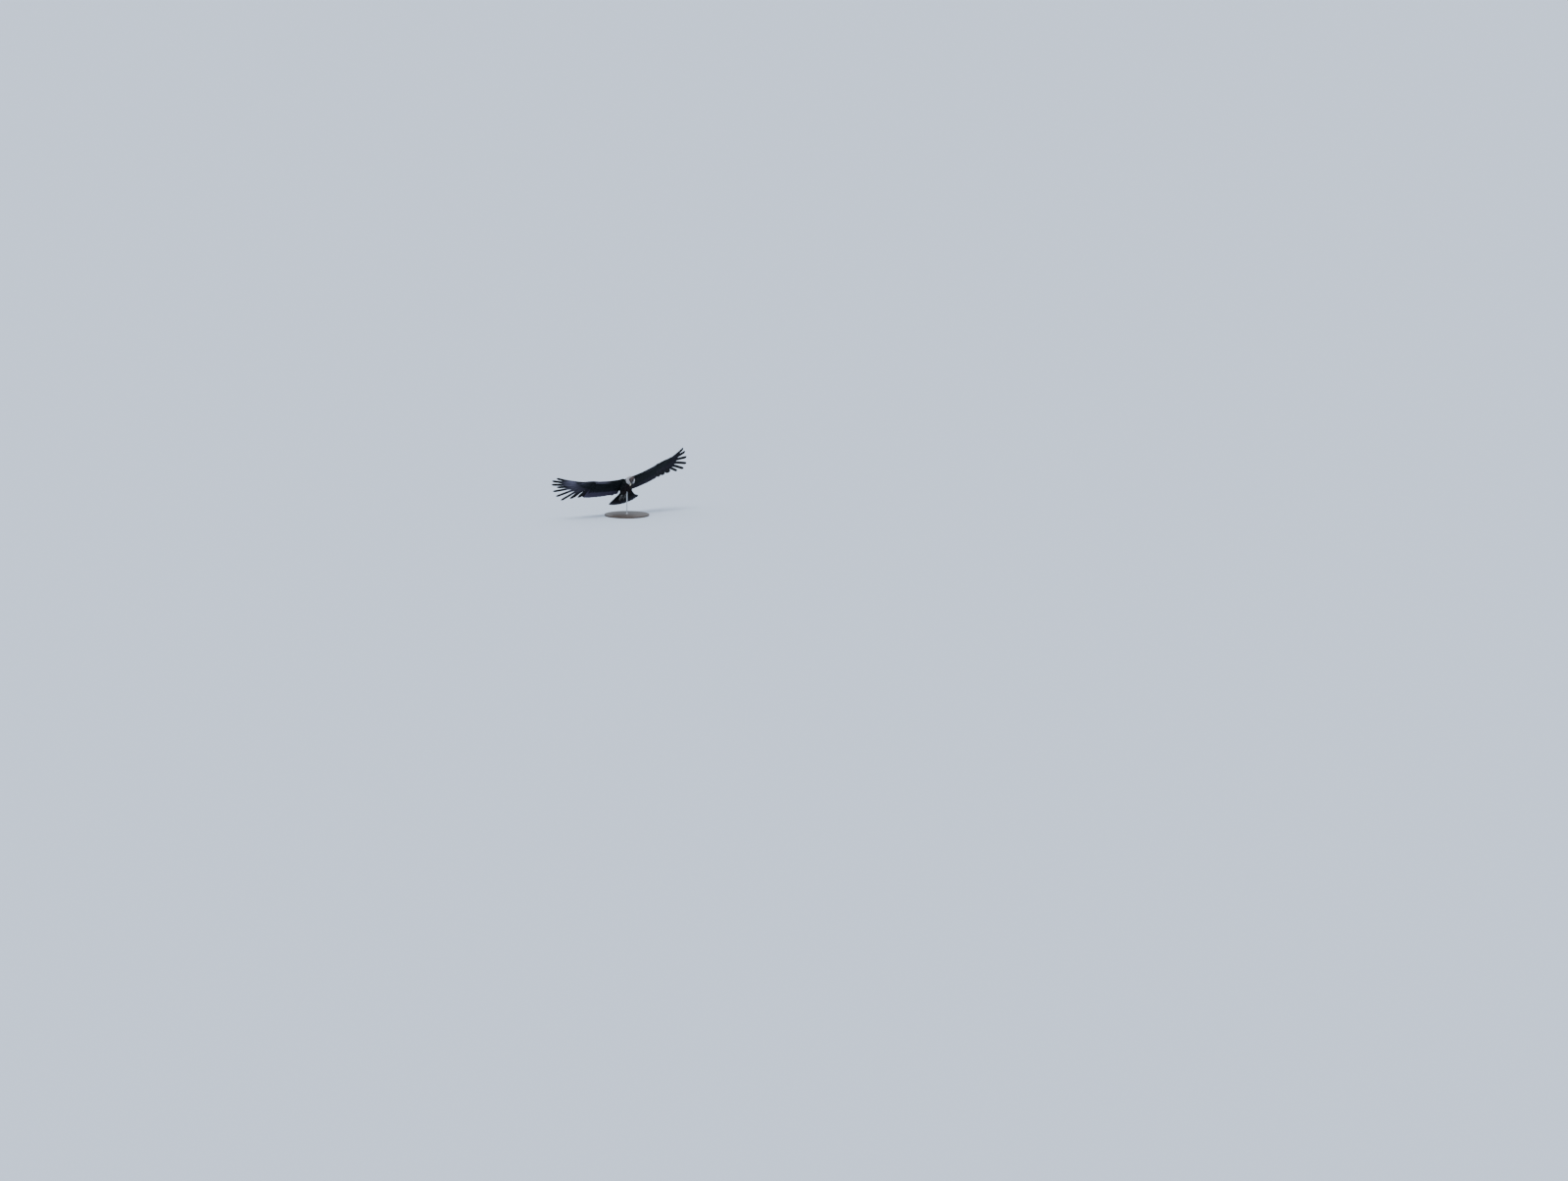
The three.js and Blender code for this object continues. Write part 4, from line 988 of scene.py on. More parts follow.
def make_coverts(side):
    for face, label in ((1, "upper"), (-1, "under")):
        long_rows = [arm_row(side, face, row) for row in range(2)]
        long_rows += [hand_row(side, face, row) for row in range(3)]
        if face > 0:
            long_rows.append(alula(side))
        coat_piece(label + "_coverts_" + side, sum(long_rows, []), 4.0, ragged=0.10, split=0.18)
        short_rows = [arm_row(side, face, row) for row in range(2, len(ARM_ROWS) - (face < 0))]
        short_rows += [hand_row(side, face, row) for row in range(3, len(HAND_ROWS))]
        if face < 0:
            short_rows.append(nose_row(side))
        coat_piece(label + "_lesser_" + side, sum(short_rows, []), 6.0, "small", 0.14, 0.12, 0.0002, 1.0)


for side in SIDES:
    make_coverts(side)

# %% [markdown]
# ## Tail
# Twelve broad feathers open in a fan that is twisted against the body, as the bird steers with it.
# Each runs from its root in the rump to its tip on an arc. Laying them from an arc of points keeps
# the fan's edge even, which turning copies about one hinge would not when the fan is twisted.

# %% Tail feathers
TAIL_BASE, TAIL_RADIUS, TAIL_HALF_FAN = (-0.200, 0.0, 0.006), 0.410, 0.72
TAIL_YAW, TAIL_ROLL, TAIL_PITCH = -0.27, -0.15, -0.05
TAIL_FEATHERS, TAIL_LAYER, TAIL_STEPS = 12, 0.0017, 14
RUMP_X, RUMP_MIDDLE, RUMP_SPREAD, RUMP_HEIGHT = -0.290, 0.007, 0.030, -0.001
TAIL_TURN = np.array(Matrix.Rotation(TAIL_YAW, 3, "Z") @ Matrix.Rotation(TAIL_PITCH, 3, "Y")
                     @ Matrix.Rotation(TAIL_ROLL, 3, "X"))
TAIL_UP = TAIL_TURN[:, 2]
tail_web = table([[0, 0.008], [0.1, 0.022], [0.35, 0.034], [0.9, 0.038], [1, 0.035]])
tail_thick = table([[0, 0.004], [0.1, 0.0025], [0.5, 0.0015], [1, 0.0010]])


def tail_point(radius, angle, lift):
    flat = np.array([-math.cos(angle) * radius, math.sin(angle) * radius, lift])
    return TAIL_TURN @ flat + np.array(TAIL_BASE)


def tail_quill(share, depth, tip, web, form, over, under, forward, spot, spread=1.0, face=1):
    """Quill from the rump to a tip in the fan; depth is its layer over the fan's middle plane."""
    root = np.array([RUMP_X + forward, RUMP_MIDDLE + RUMP_SPREAD * spread * share, RUMP_HEIGHT + depth])
    shares = np.linspace(0, 1, TAIL_STEPS)
    return quill(between(root, tip, shares[:, None]), TAIL_UP * face, web(shares), tail_thick(shares), form,
                 spot, over, under)


def tail_fan():
    rows, centre = [], (TAIL_FEATHERS - 1) / 2
    over = [(0, BLACK), (1, BROWN_BLACK)]
    under = [(0.3, GREENISH_BLACK), (0.62, BLACK * 1.6), (0.78, TAIL_GREY), (1, TAIL_GREY * 1.2)]
    for i in range(TAIL_FEATHERS):
        k = i - centre
        depth = -TAIL_LAYER * (abs(k) - (0 if k > 0 else 0.5))
        reach = TAIL_RADIUS * (1.02 if k < 0 else 1.02 + 0.04 * k / centre) + dice.normal(0, 0.002)
        tip = tail_point(reach, (0.93 if k < 0 else 0.99) * TAIL_HALF_FAN * k / centre, depth)
        rows.append(tail_quill(k / centre, depth, tip, tail_web, (0, 0.06, 0), over, under, 0.0,
                               (0.02 + 0.08 * i, 0.02)))
    return rows


TAIL_TIERS = [  # lift of the middle one, how much the next rise, radius, half fan, count, half width
    (0.0050, -0.0019, 0.240, 0.56, 13, 0.021), (0.0085, -0.0019, 0.196, 0.50, 11, 0.020),
    (-0.0165, 0.0012, 0.250, 0.56, 13, 0.022), (-0.0190, 0.0010, 0.205, 0.50, 11, 0.022),
]


def tail_coverts():
    rows = []
    for lift, lean, radius, half_fan, count, half in TAIL_TIERS:
        centre = (count - 1) / 2
        web = table([[0, 0.006], [0.4, half], [1, 0.9 * half]])
        side = 1 if lift > 0 else -1
        for i in range(count):
            share = (i - centre) / centre
            height = lift + lean * 3 * abs(share) + side * 0.0006 * (i % 2)
            reach = radius * (1 - 0.11 * abs(share)) + dice.normal(0, 0.003)
            tip = tail_point(reach, half_fan * share, height)
            tone = GREENISH_BLACK * dice.uniform(0.8, 1.2)
            rows.append(tail_quill(share, height, tip, web, (0, 0.10, 0.004 * side), [(0, tone)], 1.0, 0.014,
                                   (0.5 + 0.4 * share, 0.3 + 8 * lift), 0.9, side))
    return rows


fan = lay_vanes("tail_feathers", tail_fan(), "flight", FLIGHT_FINISH, 0.05, 0.22, 0.0005, round_tip=0.9,
                patch=(0.07, 0.9), seed=3.0)
ride_root(fan, "plumage", "tail")
coat_piece("tail_coverts", tail_coverts(), 1.0, ragged=0.10, split=0.15, round_tip=1.0)

# %% [markdown]
# ## One skin
# Under the coat the bird is one body. Its flesh is lofted through rings of ellipses, and a voxel
# Remesh fuses torso, wings, neck and thighs into one closed skin with no seam. A Boolean union
# keeps sharp creases where parts meet, while the remesh can be smoothed. The skin stays inside the
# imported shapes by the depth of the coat, so that feather tips reach the true outline.

# %% Flesh from rings
COAT_DEPTH, WING_COAT, THIGH_COAT, CHORD_SHARE = 0.013, 0.003, 0.008, 0.955
TORSO = np.array([  # x, half width, half height and height of each ring
    [0.158, 0.044, 0.043, -0.102], [0.142, 0.064, 0.062, -0.096], [0.110, 0.090, 0.084, -0.083],
    [0.062, 0.110, 0.099, -0.068], [0.005, 0.119, 0.104, -0.055], [-0.055, 0.118, 0.100, -0.047],
    [-0.115, 0.106, 0.089, -0.039], [-0.170, 0.086, 0.071, -0.030], [-0.222, 0.064, 0.048, -0.019],
    [-0.262, 0.047, 0.033, -0.011]])
RUMP = np.array([[-0.255, 0.047, 0.032, -0.011], [-0.290, 0.050, 0.025, -0.008],
                 [-0.325, 0.056, 0.014, -0.003], [-0.350, 0.050, 0.006, 0.001]])
LEG = np.array([  # place and radius down the left leg
    [-0.015, 0.055, -0.100, 0.030], [-0.062, 0.057, -0.108, 0.032], [-0.104, 0.059, -0.116, 0.034],
    [-0.146, 0.057, -0.116, 0.033], [-0.182, 0.053, -0.106, 0.021], [-0.206, 0.049, -0.095, 0.0125],
    [-0.246, 0.044, -0.078, 0.0095], [-0.282, 0.042, -0.064, 0.011], [-0.294, 0.042, -0.060, 0.010]])


def curve_through(rows, steps):
    """More rows on a smooth curve through the given ones."""
    rows = np.asarray(rows, float)
    padded = np.vstack([2 * rows[0] - rows[1], rows, 2 * rows[-1] - rows[-2]])
    found = []
    for i in range(len(rows) - 1):
        a, b, c, d = padded[i:i + 4]
        for u in np.linspace(0, 1, steps, endpoint=False):
            found.append(0.5 * (2 * b + (c - a) * u + (2 * a - 5 * b + 4 * c - d) * u**2
                                + (3 * b - a - 3 * c + d) * u**3))
    return np.array(found + [rows[-1]])


def circle(count):
    return np.linspace(0, 2 * math.pi, count, endpoint=False)


def ring(x, half_width, half_height, z, count=32):
    angle = circle(count)
    return np.stack([np.full(count, x), half_width * np.cos(angle), z + half_height * np.sin(angle)], 1)


def ellipsoid(radii, end, rings, count):
    """Loft whose first and last rings lie at the angle end from its poles."""
    angles = np.linspace(end, math.pi - end, rings)
    return loft([ring(-math.cos(a) * radii[0], math.sin(a) * radii[1], math.sin(a) * radii[2], 0.0, count)
                 for a in angles])


def tube_rings(points, radii, count=20):
    points = np.asarray(points, float)
    along = unit(np.gradient(points, axis=0))
    side = unit(np.cross([0.0, 1.0, 0.0], along))
    other = np.cross(along, side)
    angle = circle(count)[:, None]
    return [p + r * (np.cos(angle) * s + np.sin(angle) * o)
            for p, r, s, o in zip(points, radii, side, other)]


def loft(rings):
    """Points and faces of a closed loft, with a middle point at each end."""
    rings = np.asarray(rings)
    number, count = rings.shape[:2]
    points = np.vstack([rings.reshape(-1, 3), rings[0].mean(0), rings[-1].mean(0)])
    faces = []
    for i in range(number - 1):
        for j in range(count):
            a, b = i * count + j, i * count + (j + 1) % count
            faces.append((a, b, b + count, a + count))
    first, last = number * count, number * count + 1
    faces += [(first, (j + 1) % count, j) for j in range(count)]
    end = (number - 1) * count
    faces += [(last, end + j, end + (j + 1) % count) for j in range(count)]
    return points, faces


def object_of(name, made):
    """Object of a bmesh, smooth and with its faces turned outwards."""
    bmesh.ops.recalc_face_normals(made, faces=made.faces)
    data = bpy.data.meshes.new(name)
    made.to_mesh(data)
    made.free()
    data.shade_smooth()
    return link_up(name, data)


def solid_object(name, parts):
    """One object of several lofts, in the row frame."""
    made = bmesh.new()
    for points, faces in parts:
        corners = [made.verts.new(p) for p in to_row(points)]
        for face in faces:
            made.faces.new([corners[i] for i in face])
    return object_of(name, made)


def fused(carrier, name, voxel, rounds):
    """One closed surface round all the parts of an object, smoothed a little."""
    remesh = carrier.modifiers.new("fuse", "REMESH")
    remesh.mode, remesh.voxel_size, remesh.use_smooth_shade = "VOXEL", voxel, True
    smooth = carrier.modifiers.new("smooth", "SMOOTH")
    smooth.factor, smooth.iterations = 0.5, rounds
    return settle(carrier, name)


def torso_rings(depth):
    rows = curve_through(TORSO, 4)
    return [ring(x, w - depth, h - depth, z) for x, w, h, z in rows]


def rump_rings():
    rows = curve_through(RUMP, 3)
    return [ring(x, w - 0.004, max(h - 0.005, 0.003), z, 20) + [0, TAIL_YAW * (x - RUMP[0, 0]), 0]
            for x, w, h, z in rows]


def wing_flesh_rings(side):
    rings = []
    for t in np.linspace(0.055, 0.868, 40):
        top, under = flesh_outline(t, 1), flesh_outline(t, -1)
        chords = np.concatenate([top[0], under[0][::-1][1:]])
        heights = np.concatenate([top[1], -np.array(under[1][::-1][1:])])
        chords = chords.mean() + (chords - chords.mean()) * CHORD_SHARE
        heights = np.sign(heights) * np.maximum(np.abs(heights) - WING_COAT, 0.0012)
        rings.append(wing_point(side, np.full(chords.shape, t), chords, heights))
    return rings


def leg_rings(side, rows, coat):
    rows = curve_through(rows, 4)
    shaved = np.where(rows[:, 0] > -0.200, coat, 0.0)
    return tube_rings(rows[:, :3] * [1, SIDES[side], 1], np.maximum(rows[:, 3] - shaved, 0.008))


flesh = [loft(torso_rings(COAT_DEPTH)), loft(rump_rings())]
for side in SIDES:
    flesh += [loft(wing_flesh_rings(side)), loft(leg_rings(side, LEG, THIGH_COAT))]
print("flesh:", len(flesh), "lofts")

# %% [markdown]
# ## Head and neck
# The head is bare and its folds show, so this part of the skin is remeshed much finer than the rest.
# A long crown with a fleshy comb, heavy brows, lobes under the throat and rings of loose skin down
# the neck make the bird what it is. Sculpting would do it too, but pushing the points along their
# normals by a few waves and some noise can be read and changed later.

# %% Head shapes
HEAD_CENTRE = np.array([0.277, -0.050, -0.182])
HEAD_FORWARD = unit([-0.42, -0.62, -0.66])
HEAD_CROWN = unit(np.array([1.0, 0, 0]) - HEAD_FORWARD * HEAD_FORWARD[0])
HEAD_LEFT = np.cross(HEAD_CROWN, HEAD_FORWARD)
HEAD_AXES = np.column_stack([HEAD_FORWARD, HEAD_LEFT, HEAD_CROWN])
SKULL = [[-0.063, 0.009, 0.011, -0.007], [-0.057, 0.019, 0.022, -0.006], [-0.044, 0.027, 0.030, -0.002],
         [-0.024, 0.031, 0.034, 0.001], [-0.004, 0.031, 0.033, 0.002], [0.014, 0.0285, 0.029, 0.0],
         [0.030, 0.0225, 0.024, -0.004], [0.046, 0.017, 0.019, -0.007], [0.060, 0.0138, 0.0158, -0.008]]
COMB = [[0.004, 0.002, 0.027, 0.018], [0.011, 0.0045, 0.042, 0.016], [0.022, 0.0062, 0.056, 0.012],
        [0.035, 0.007, 0.062, 0.008], [0.048, 0.0064, 0.057, 0.004], [0.057, 0.005, 0.044, 0.0],
        [0.060, 0.0036, 0.036, 0.002]]
EYE_AT, EYE_RADIUS = np.array([0.013, 0.0223, 0.0065]), 0.0086
LID_OUT, LID_TURN, LID_RADIUS, LID_THICK = 0.0062, 0.22, 0.0094, 0.0025
BROW = ((0.012, 0.025, 0.0155), (0.015, 0.0055, 0.0036))
WATTLES = [((0.020, 0.0, -0.029), (0.018, 0.005, 0.011)), ((-0.010, 0.015, -0.031), (0.020, 0.006, 0.009)),
           ((-0.010, -0.015, -0.031), (0.020, 0.006, 0.009))]
NECK_START, NECK_END = np.array([0.150, 0.0, -0.100]), np.array([0.282, -0.016, -0.143])
NECK_THICK, NECK_THIN, NECK_SAG = 0.032, 0.025, 0.007


def on_head(points):
    """Points of the head's frame, x to the bill and z to the crown, in the bird's frame."""
    return np.asarray(points) @ HEAD_AXES.T + HEAD_CENTRE


def about_z(points, angle):
    """Points turned about the third axis."""
    c, s = math.cos(angle), math.sin(angle)
    return points @ np.array([[c, -s, 0], [s, c, 0], [0, 0, 1]]).T


def blob(centre, radii, tilt=0.0):
    """Ellipsoid in the head's frame; tilt turns it about the crown's axis."""
    points, faces = ellipsoid(radii, 0.12, 14, 20)
    return on_head(about_z(points, tilt) + np.array(centre)), faces


def loft_on_head(rings):
    points, faces = loft(rings)
    return on_head(points), faces


def head_loft(rows, count=28):
    return loft_on_head([ring(x, w, h, z, count) for x, w, h, z in curve_through(rows, 5)])


def comb_rows():
    return [[x, w, (top - bottom) / 2, (top + bottom) / 2] for x, w, top, bottom in COMB]


def eyelid(sign, steps=28, section_steps=10):
    """Ring of skin round an eye, turned a little to the front."""
    around, section = circle(steps)[:, None, None], circle(section_steps)[None, :, None]
    radius = LID_RADIUS + LID_THICK * np.cos(section)
    flat = np.concatenate([radius * np.cos(around) + 0 * section, LID_THICK * np.sin(section) + 0 * around,
                           radius * np.sin(around) * 0.80 + 0 * section], -1)
    centre = EYE_AT * [1, sign, 1] + [0, sign * LID_OUT, 0]
    points = about_z(flat.reshape(-1, 3), -LID_TURN * sign) + centre
    numbers = np.arange(steps * section_steps).reshape(steps, section_steps)
    ahead, beside = np.roll(numbers, -1, 0), np.roll(numbers, -1, 1)
    corners = np.stack([numbers, beside, np.roll(ahead, -1, 1), ahead], -1)
    return on_head(points), corners.reshape(-1, 4).tolist()


def neck_loft():
    shares = np.linspace(-0.05, 1.05, 40)
    line = between(NECK_START, NECK_END, shares[:, None])
    line[:, 2] -= NECK_SAG * np.sin(math.pi * np.clip(shares, 0, 1))
    return loft(tube_rings(line, between(NECK_THICK, NECK_THIN, shares), 32))


head_parts = [head_loft(SKULL), head_loft(comb_rows(), 20), neck_loft()]
head_parts += [blob(centre, radii) for centre, radii in WATTLES]
for sign in (1, -1):
    head_parts += [blob(np.array(BROW[0]) * [1, sign, 1], BROW[1], -0.15 * sign), eyelid(sign)]
print("head:", len(head_parts), "shapes")

# %% Folds of the bare skin
FOLD_DEPTH, FOLD_LENGTH, HEAD_REACH = 0.0026, 0.0115, 0.075


def bumps(place, scale, octaves=3):
    return noise.fractal(Vector(place) * scale, 0.7, 2.1, octaves)


def skin_folds(local, neck_share):
    """How far a point of the bare skin stands out; local is its place in the head's frame."""
    x, _, z = local
    wander = bumps(local, 26.0)
    folds = 0.0
    if 0 < neck_share < 1.08:
        around = FOLD_DEPTH * math.sin(2 * math.pi * (neck_share * 0.142 + 0.0035 * wander) / FOLD_LENGTH)
        folds = around * min(1, 5 * neck_share) * min(1, max(0, 8 * (1.05 - neck_share)))
    comb = 1.0 if z > 0.030 and x > 0 else 0.0
    lumps = 0.0011 * comb * bumps(local, 150.0)
    cheek = 0.0010 * math.sin(700 * (z + 0.35 * x) + 5 * wander) * (1 if z < 0.0 and x < 0.03 else 0.35)
    return folds + lumps + cheek * (1 - comb) + 0.0006 * bumps(local, 190.0)


def dimple(local, centre, radii):
    """1 at the middle of a hollow and 0 outside it."""
    d = sum(((p - c) / r) ** 2 for p, c, r in zip(local, centre, radii))
    return max(0.0, 1 - d)


NOSTRIL = ((0.049, 0.0150, 0.003), (0.007, 0.006, 0.0036))
MOUTH = ((0.042, 0.0185, -0.0126), (0.024, 0.008, 0.0022))
EAR = ((-0.030, 0.031, -0.007), (0.006, 0.006, 0.0048))
HOLLOWS = ((NOSTRIL, 0.0055), (MOUTH, 0.0036), (EAR, 0.0050))


def bird_places(piece):
    """The points of a piece, in the bird's frame."""
    return (np.array([v.co for v in piece.data.vertices]) - BIRD_AT) @ BIRD_AXES


def in_head(places):
    """Points of the bird's frame, in the head's frame."""
    return (places - HEAD_CENTRE) @ HEAD_AXES


def shape_bare_skin(piece):
    """Moves the points of the head and neck along their normals, and hollows out what is hollow."""
    places = bird_places(piece)
    axis = NECK_END - NECK_START
    share = (places - NECK_START) @ axis / (axis @ axis)
    normals = [v.normal.copy() for v in piece.data.vertices]
    for v, normal, place, f in zip(piece.data.vertices, normals, in_head(places), share):
        on_face = np.linalg.norm(place) < HEAD_REACH and place[0] > -0.05
        out = skin_folds(place, -1.0 if on_face else float(f))
        mirrored = (place[0], abs(place[1]), place[2])
        for (centre, radii), depth in HOLLOWS:
            out -= depth * dimple(mirrored, centre, radii)
        rim = np.linalg.norm((np.array(mirrored) - EYE_AT - [0, LID_OUT, 0]) * [1, 0.6, 1.2])
        out *= min(1.0, max(0.15, (rim - 0.010) / 0.010))
        v.co += normal * out


head_skin = fused(solid_object("head_shapes", head_parts), "head_skin", 0.0013, 3)
shape_bare_skin(head_skin)
body_skin = fused(solid_object("flesh", flesh), "body_skin", 0.0056, 5)
print("head skin", len(head_skin.data.polygons), "faces, body skin", len(body_skin.data.polygons))

# %% [markdown]
# ## Joining and colouring the skin
# A Boolean union makes head and body one closed skin; the collar of down will cover the line. The
# skin is then coloured by where each point lies: near black under the feathers, slate red on the
# head, pinker in the folds of the neck. Painting by rule keeps it the same each time.

# %% The skin
UNDER_COAT, HEAD_TONE, COMB_TONE, NECK_TONE, FACE_TONE, LEG_TONE = np.array([
    [0.008, 0.008, 0.009], [0.038, 0.024, 0.024], [0.029, 0.021, 0.022], [0.050, 0.028, 0.026],
    [0.024, 0.020, 0.022], [0.085, 0.083, 0.088]])
SKIN_SHINE = 0.45


def join_skins(body, head):
    union = body.modifiers.new("join", "BOOLEAN")
    union.operation, union.object, union.solver = "UNION", head, "MANIFOLD"
    skin = settle(body, "skin")
    bpy.data.objects.remove(head)
    skin.data.materials.clear()
    skin.data.shade_smooth()
    return skin


def ease(values, low, high):
    """0 below low, 1 above high and smooth between."""
    share = np.clip((values - low) / (high - low), 0, 1)
    return (share * share * (3 - 2 * share))[:, None]


def store_tones(piece, tones):
    keep(piece.data, "tone", "FLOAT_COLOR", np.column_stack([tones, np.ones(len(tones))]))


def colour_skin(skin):
    places = bird_places(skin)
    x, y, z = in_head(places).T
    wander = np.array([bumps(p, 40.0) for p in places]) * 0.010
    from_head = np.sqrt(x**2 + y**2 + (0.9 * z) ** 2) + wander
    from_neck = np.linalg.norm(places - NECK_START, axis=1)
    tones = np.tile(UNDER_COAT, (len(places), 1))
    near_head = ease(-from_head, -0.100, -0.095)
    for tone, weight in (
            (NECK_TONE, ease(places[:, 0], 0.160, 0.168) * ease(-from_neck, -0.31, -0.30)),
            (HEAD_TONE, ease(-from_head, -0.090, -0.060)),
            (COMB_TONE, near_head * ease(z + wander, 0.024, 0.038) * ease(x + wander, -0.004, 0.012)),
            (FACE_TONE, near_head * ease(x + wander, 0.016, 0.036) * ease(-z + wander, -0.030, -0.016)),
            (LEG_TONE, ease(-places[:, 0], 0.192, 0.200) * ease(-places[:, 2], 0.048, 0.054))):
        tones = between(tones, tone, weight)
    store_tones(skin, tones)


def skin_finish():
    """Leathery skin: pores between fine creases, and broad blotches of colour."""
    material, tree, shader = new_material("bare_skin", 0.52, SKIN_SHINE, subsurface_weight=0.06,
                                          subsurface_radius=(0.004, 0.0015, 0.001))
    place = object_place(tree)
    blotches, mottle = place.noise(45.0), place.noise(260.0)
    bent = place + (place.noise(120.0) - 0.5) * 0.012
    lines = (bent.cells(330.0, feature="DISTANCE_TO_EDGE") * 3.5).at_most(1.0).root()
    pores = bent.cells(1100.0)
    shade = (blotches * 1.1 + 0.42) * (mottle * 0.5 + 0.75) * (lines * 0.16 + 0.84)
    shine = (attribute_field(tree, "tone", "Fac") * 14.0).at_most(SKIN_SHINE)
    plug(tree, shader.inputs["Specular IOR Level"], shine)
    drive(tree, shader, lines * 0.6 + mottle * 0.9 - pores * 0.35, 0.45, 0.0007,
          base_color=attribute_field(tree, "tone") * shade, roughness=mottle * 0.30 + blotches * 0.15 + 0.30)
    return material


skin = join_skins(body_skin, head_skin)
colour_skin(skin)
ride_root(skin, "bare_skin", "torso", "neck", "head", "leg_left", "leg_right", finish=skin_finish())

# %% [markdown]
# ## The coat of the body
# The body's contour feathers overlap from the collar to the tail, and longer ones lie over the
# joints of the wings. Their roots sit on the skin and their tips reach the outline, so each path
# climbs a little on its way back. Particle hair could not give flat webs, so these are rows of
# quills too, worked out on the body's rings. Those over the wing roots are dropped onto the skin.

# %% Contour feathers
BODY = np.array([[0.158, 0.044, 0.043, -0.102, 0.0]] + [[*row, 0.0] for row in TORSO[1:]]
                + [[x, w, h, z, TAIL_YAW * (x - RUMP[0, 0])] for x, w, h, z in RUMP[1:]])[::-1]
BODY_STEPS, BODY_WIDTH = 5, 0.024
contour_length = table([[-0.30, 0.080], [-0.15, 0.078], [0.10, 0.058], [0.16, 0.036]])
contour_half = table([[-0.30, 0.017], [-0.15, 0.020], [0.10, 0.0165], [0.16, 0.012]])
contour_pitch = table([[-0.20, 0.021], [0.10, 0.018], [0.16, 0.013]])
FLANK_BROWN = np.array([0.0125, 0.0096, 0.0108])


def body_rings(x):
    """Half width, half height, height and sideways shift of the body at x."""
    return columns_at(x, BODY[:, 0], BODY[:, 1:]).T


def body_point(x, angle, depth):
    wide, high, z, shift = body_rings(x)
    return np.stack([x, shift + (wide - depth) * np.cos(angle), z + (high - depth) * np.sin(angle)], -1)


def body_normal(x, angle):
    wide, high, _, _ = body_rings(x)
    slope = (body_rings(x + 0.01)[0] - body_rings(x - 0.01)[0]) / 0.02
    return unit(np.stack([-slope, np.cos(angle) / wide * high, np.sin(angle) * wide / high], -1))


def coat_tone(angle):
    """Nearly black, browner on the breast and belly."""
    tone = between(GREENISH_BLACK, FLANK_BROWN, max(0.0, -math.sin(angle)))
    return tone * dice.uniform(0.75, 1.35)


def contour_row(x, number, offset):
    length, half = float(contour_length(x)), float(contour_half(x))
    shares, rows = np.linspace(0, 1, BODY_STEPS), []
    for angle in (np.arange(number) + offset) * 2 * math.pi / number:
        angle = angle + dice.normal(0, 0.03)
        start = x + dice.normal(0, 0.004)
        at = np.maximum(start - length * shares * dice.uniform(0.9, 1.1), -0.349)
        depth = COAT_DEPTH * (1 - shares) ** 1.2 + 0.001 + dice.uniform(0, 0.0015)
        depth = np.minimum(depth, 0.8 * body_rings(at)[1])
        turn = angle + dice.normal(0, 0.07) * shares
        tone = coat_tone(angle)
        rows.append(quill(body_point(at, turn, depth), body_normal(at, turn),
                          leaf(shares, half, 0.4, 0.45, 0.95), covert_thick(shares),
                          [dice.normal(0, 0.08), 0.10, 0.0],
                          (angle / math.pi, (x + 0.35) * 1.6),
                          [(0, tone * 0.6), (1, tone)], [(0, tone * 0.6), (1, tone * 0.8)]))
    return rows


def contour_quills(low, high):
    rows, x, i = [], high, 0
    while x > low:
        wide, tall, _, _ = body_rings(x)
        number = max(8, round(math.pi * (wide + tall) / BODY_WIDTH))
        rows += contour_row(x, number, 0.5 * (i % 2))
        x -= float(contour_pitch(x))
        i += 1
    return rows


for label, low, high in (("breast_feathers", 0.0, 0.156), ("belly_feathers", -0.315, 0.0)):
    coat_piece(label, contour_quills(low, high), 8.0, ragged=0.16, split=0.22, round_tip=1.0)

# %% Shoulders, wingpits, thighs and the left flank
DRAPED_STEPS, DROP_LIMIT = 7, 0.09
THIGH_PITCH, THIGH_HALF = 0.013, 0.011
SKIN_TREE = BVHTree.FromPolygons([v.co[:] for v in skin.data.vertices],
                                 [p.vertices[:] for p in skin.data.polygons])


def dropped(points, side_up, lift):
    """Points moved onto the skin from above (1) or below (-1), with the skin's normals there."""
    found, normals = [], []
    for p, rise in zip(points, lift):
        away = np.array([0, 0, 0.25 * side_up])
        start, stop = Vector(to_row(p + away)), Vector(to_row(p - away))
        hit, normal, _, _ = SKIN_TREE.ray_cast(start, (stop - start).normalized(), 0.5)
        spot = p if hit is None else (np.array(hit) - BIRD_AT) @ BIRD_AXES
        if hit is None or abs(spot[2] - p[2]) > DROP_LIMIT:
            spot, facing = p, np.array([0, 0, float(side_up)])
        else:
            facing = np.array(normal) @ BIRD_AXES
        found.append(spot + np.array([0, 0, side_up * rise]))
        normals.append(facing)
    line = np.array(found)
    line[1:-1] = 0.5 * line[1:-1] + 0.25 * (line[:-2] + line[2:])
    return line, unit(np.array(normals) + [0, 0, 0.6 * side_up])


def draped_feather(side, start, end, side_up, lift, half, tone):
    shares = np.linspace(0, 1, DRAPED_STEPS)
    start, end = (np.array(p) * [1, SIDES[side], 1] for p in (start, end))
    line, normals = dropped(between(start, end, shares[:, None]), side_up, np.interp(shares, [0, 1], lift))
    return quill(line, normals, leaf(shares, half, 0.35, 0.45, 0.9), 0.001, [0.0, 0.10, 0.0],
                 (start[1] * 2 + 0.5, start[0] + 0.5), [(0, tone)], 0.8)


# Each group's tiers and feathers in a tier, what the roots' place and the feathers' reach start from
# and change by with tier and place in the tier, heights of root and tip, lift and half width.
SHOULDER = (9, (8, 7), (0.040, 0.080), (-0.055, 0.150, -0.025), (0.165, -0.105), (0.82, 0.25), 0.9,
            (0.05, 0.28), (0.03, 0.014), (0.008, 0.002, 0.5), (0.021, -0.008))
WINGPIT = (5, (6, 6), (0.100, 0.060), (-0.045, 0.105, 0.0), (0.150, -0.070), (1.0, -0.25), 0.88,
           (0.02, 0.16), (-0.02, -0.005), (0.005, 0.001, 1.0), (0.018, -0.005))
DEEP_TIERS = 5


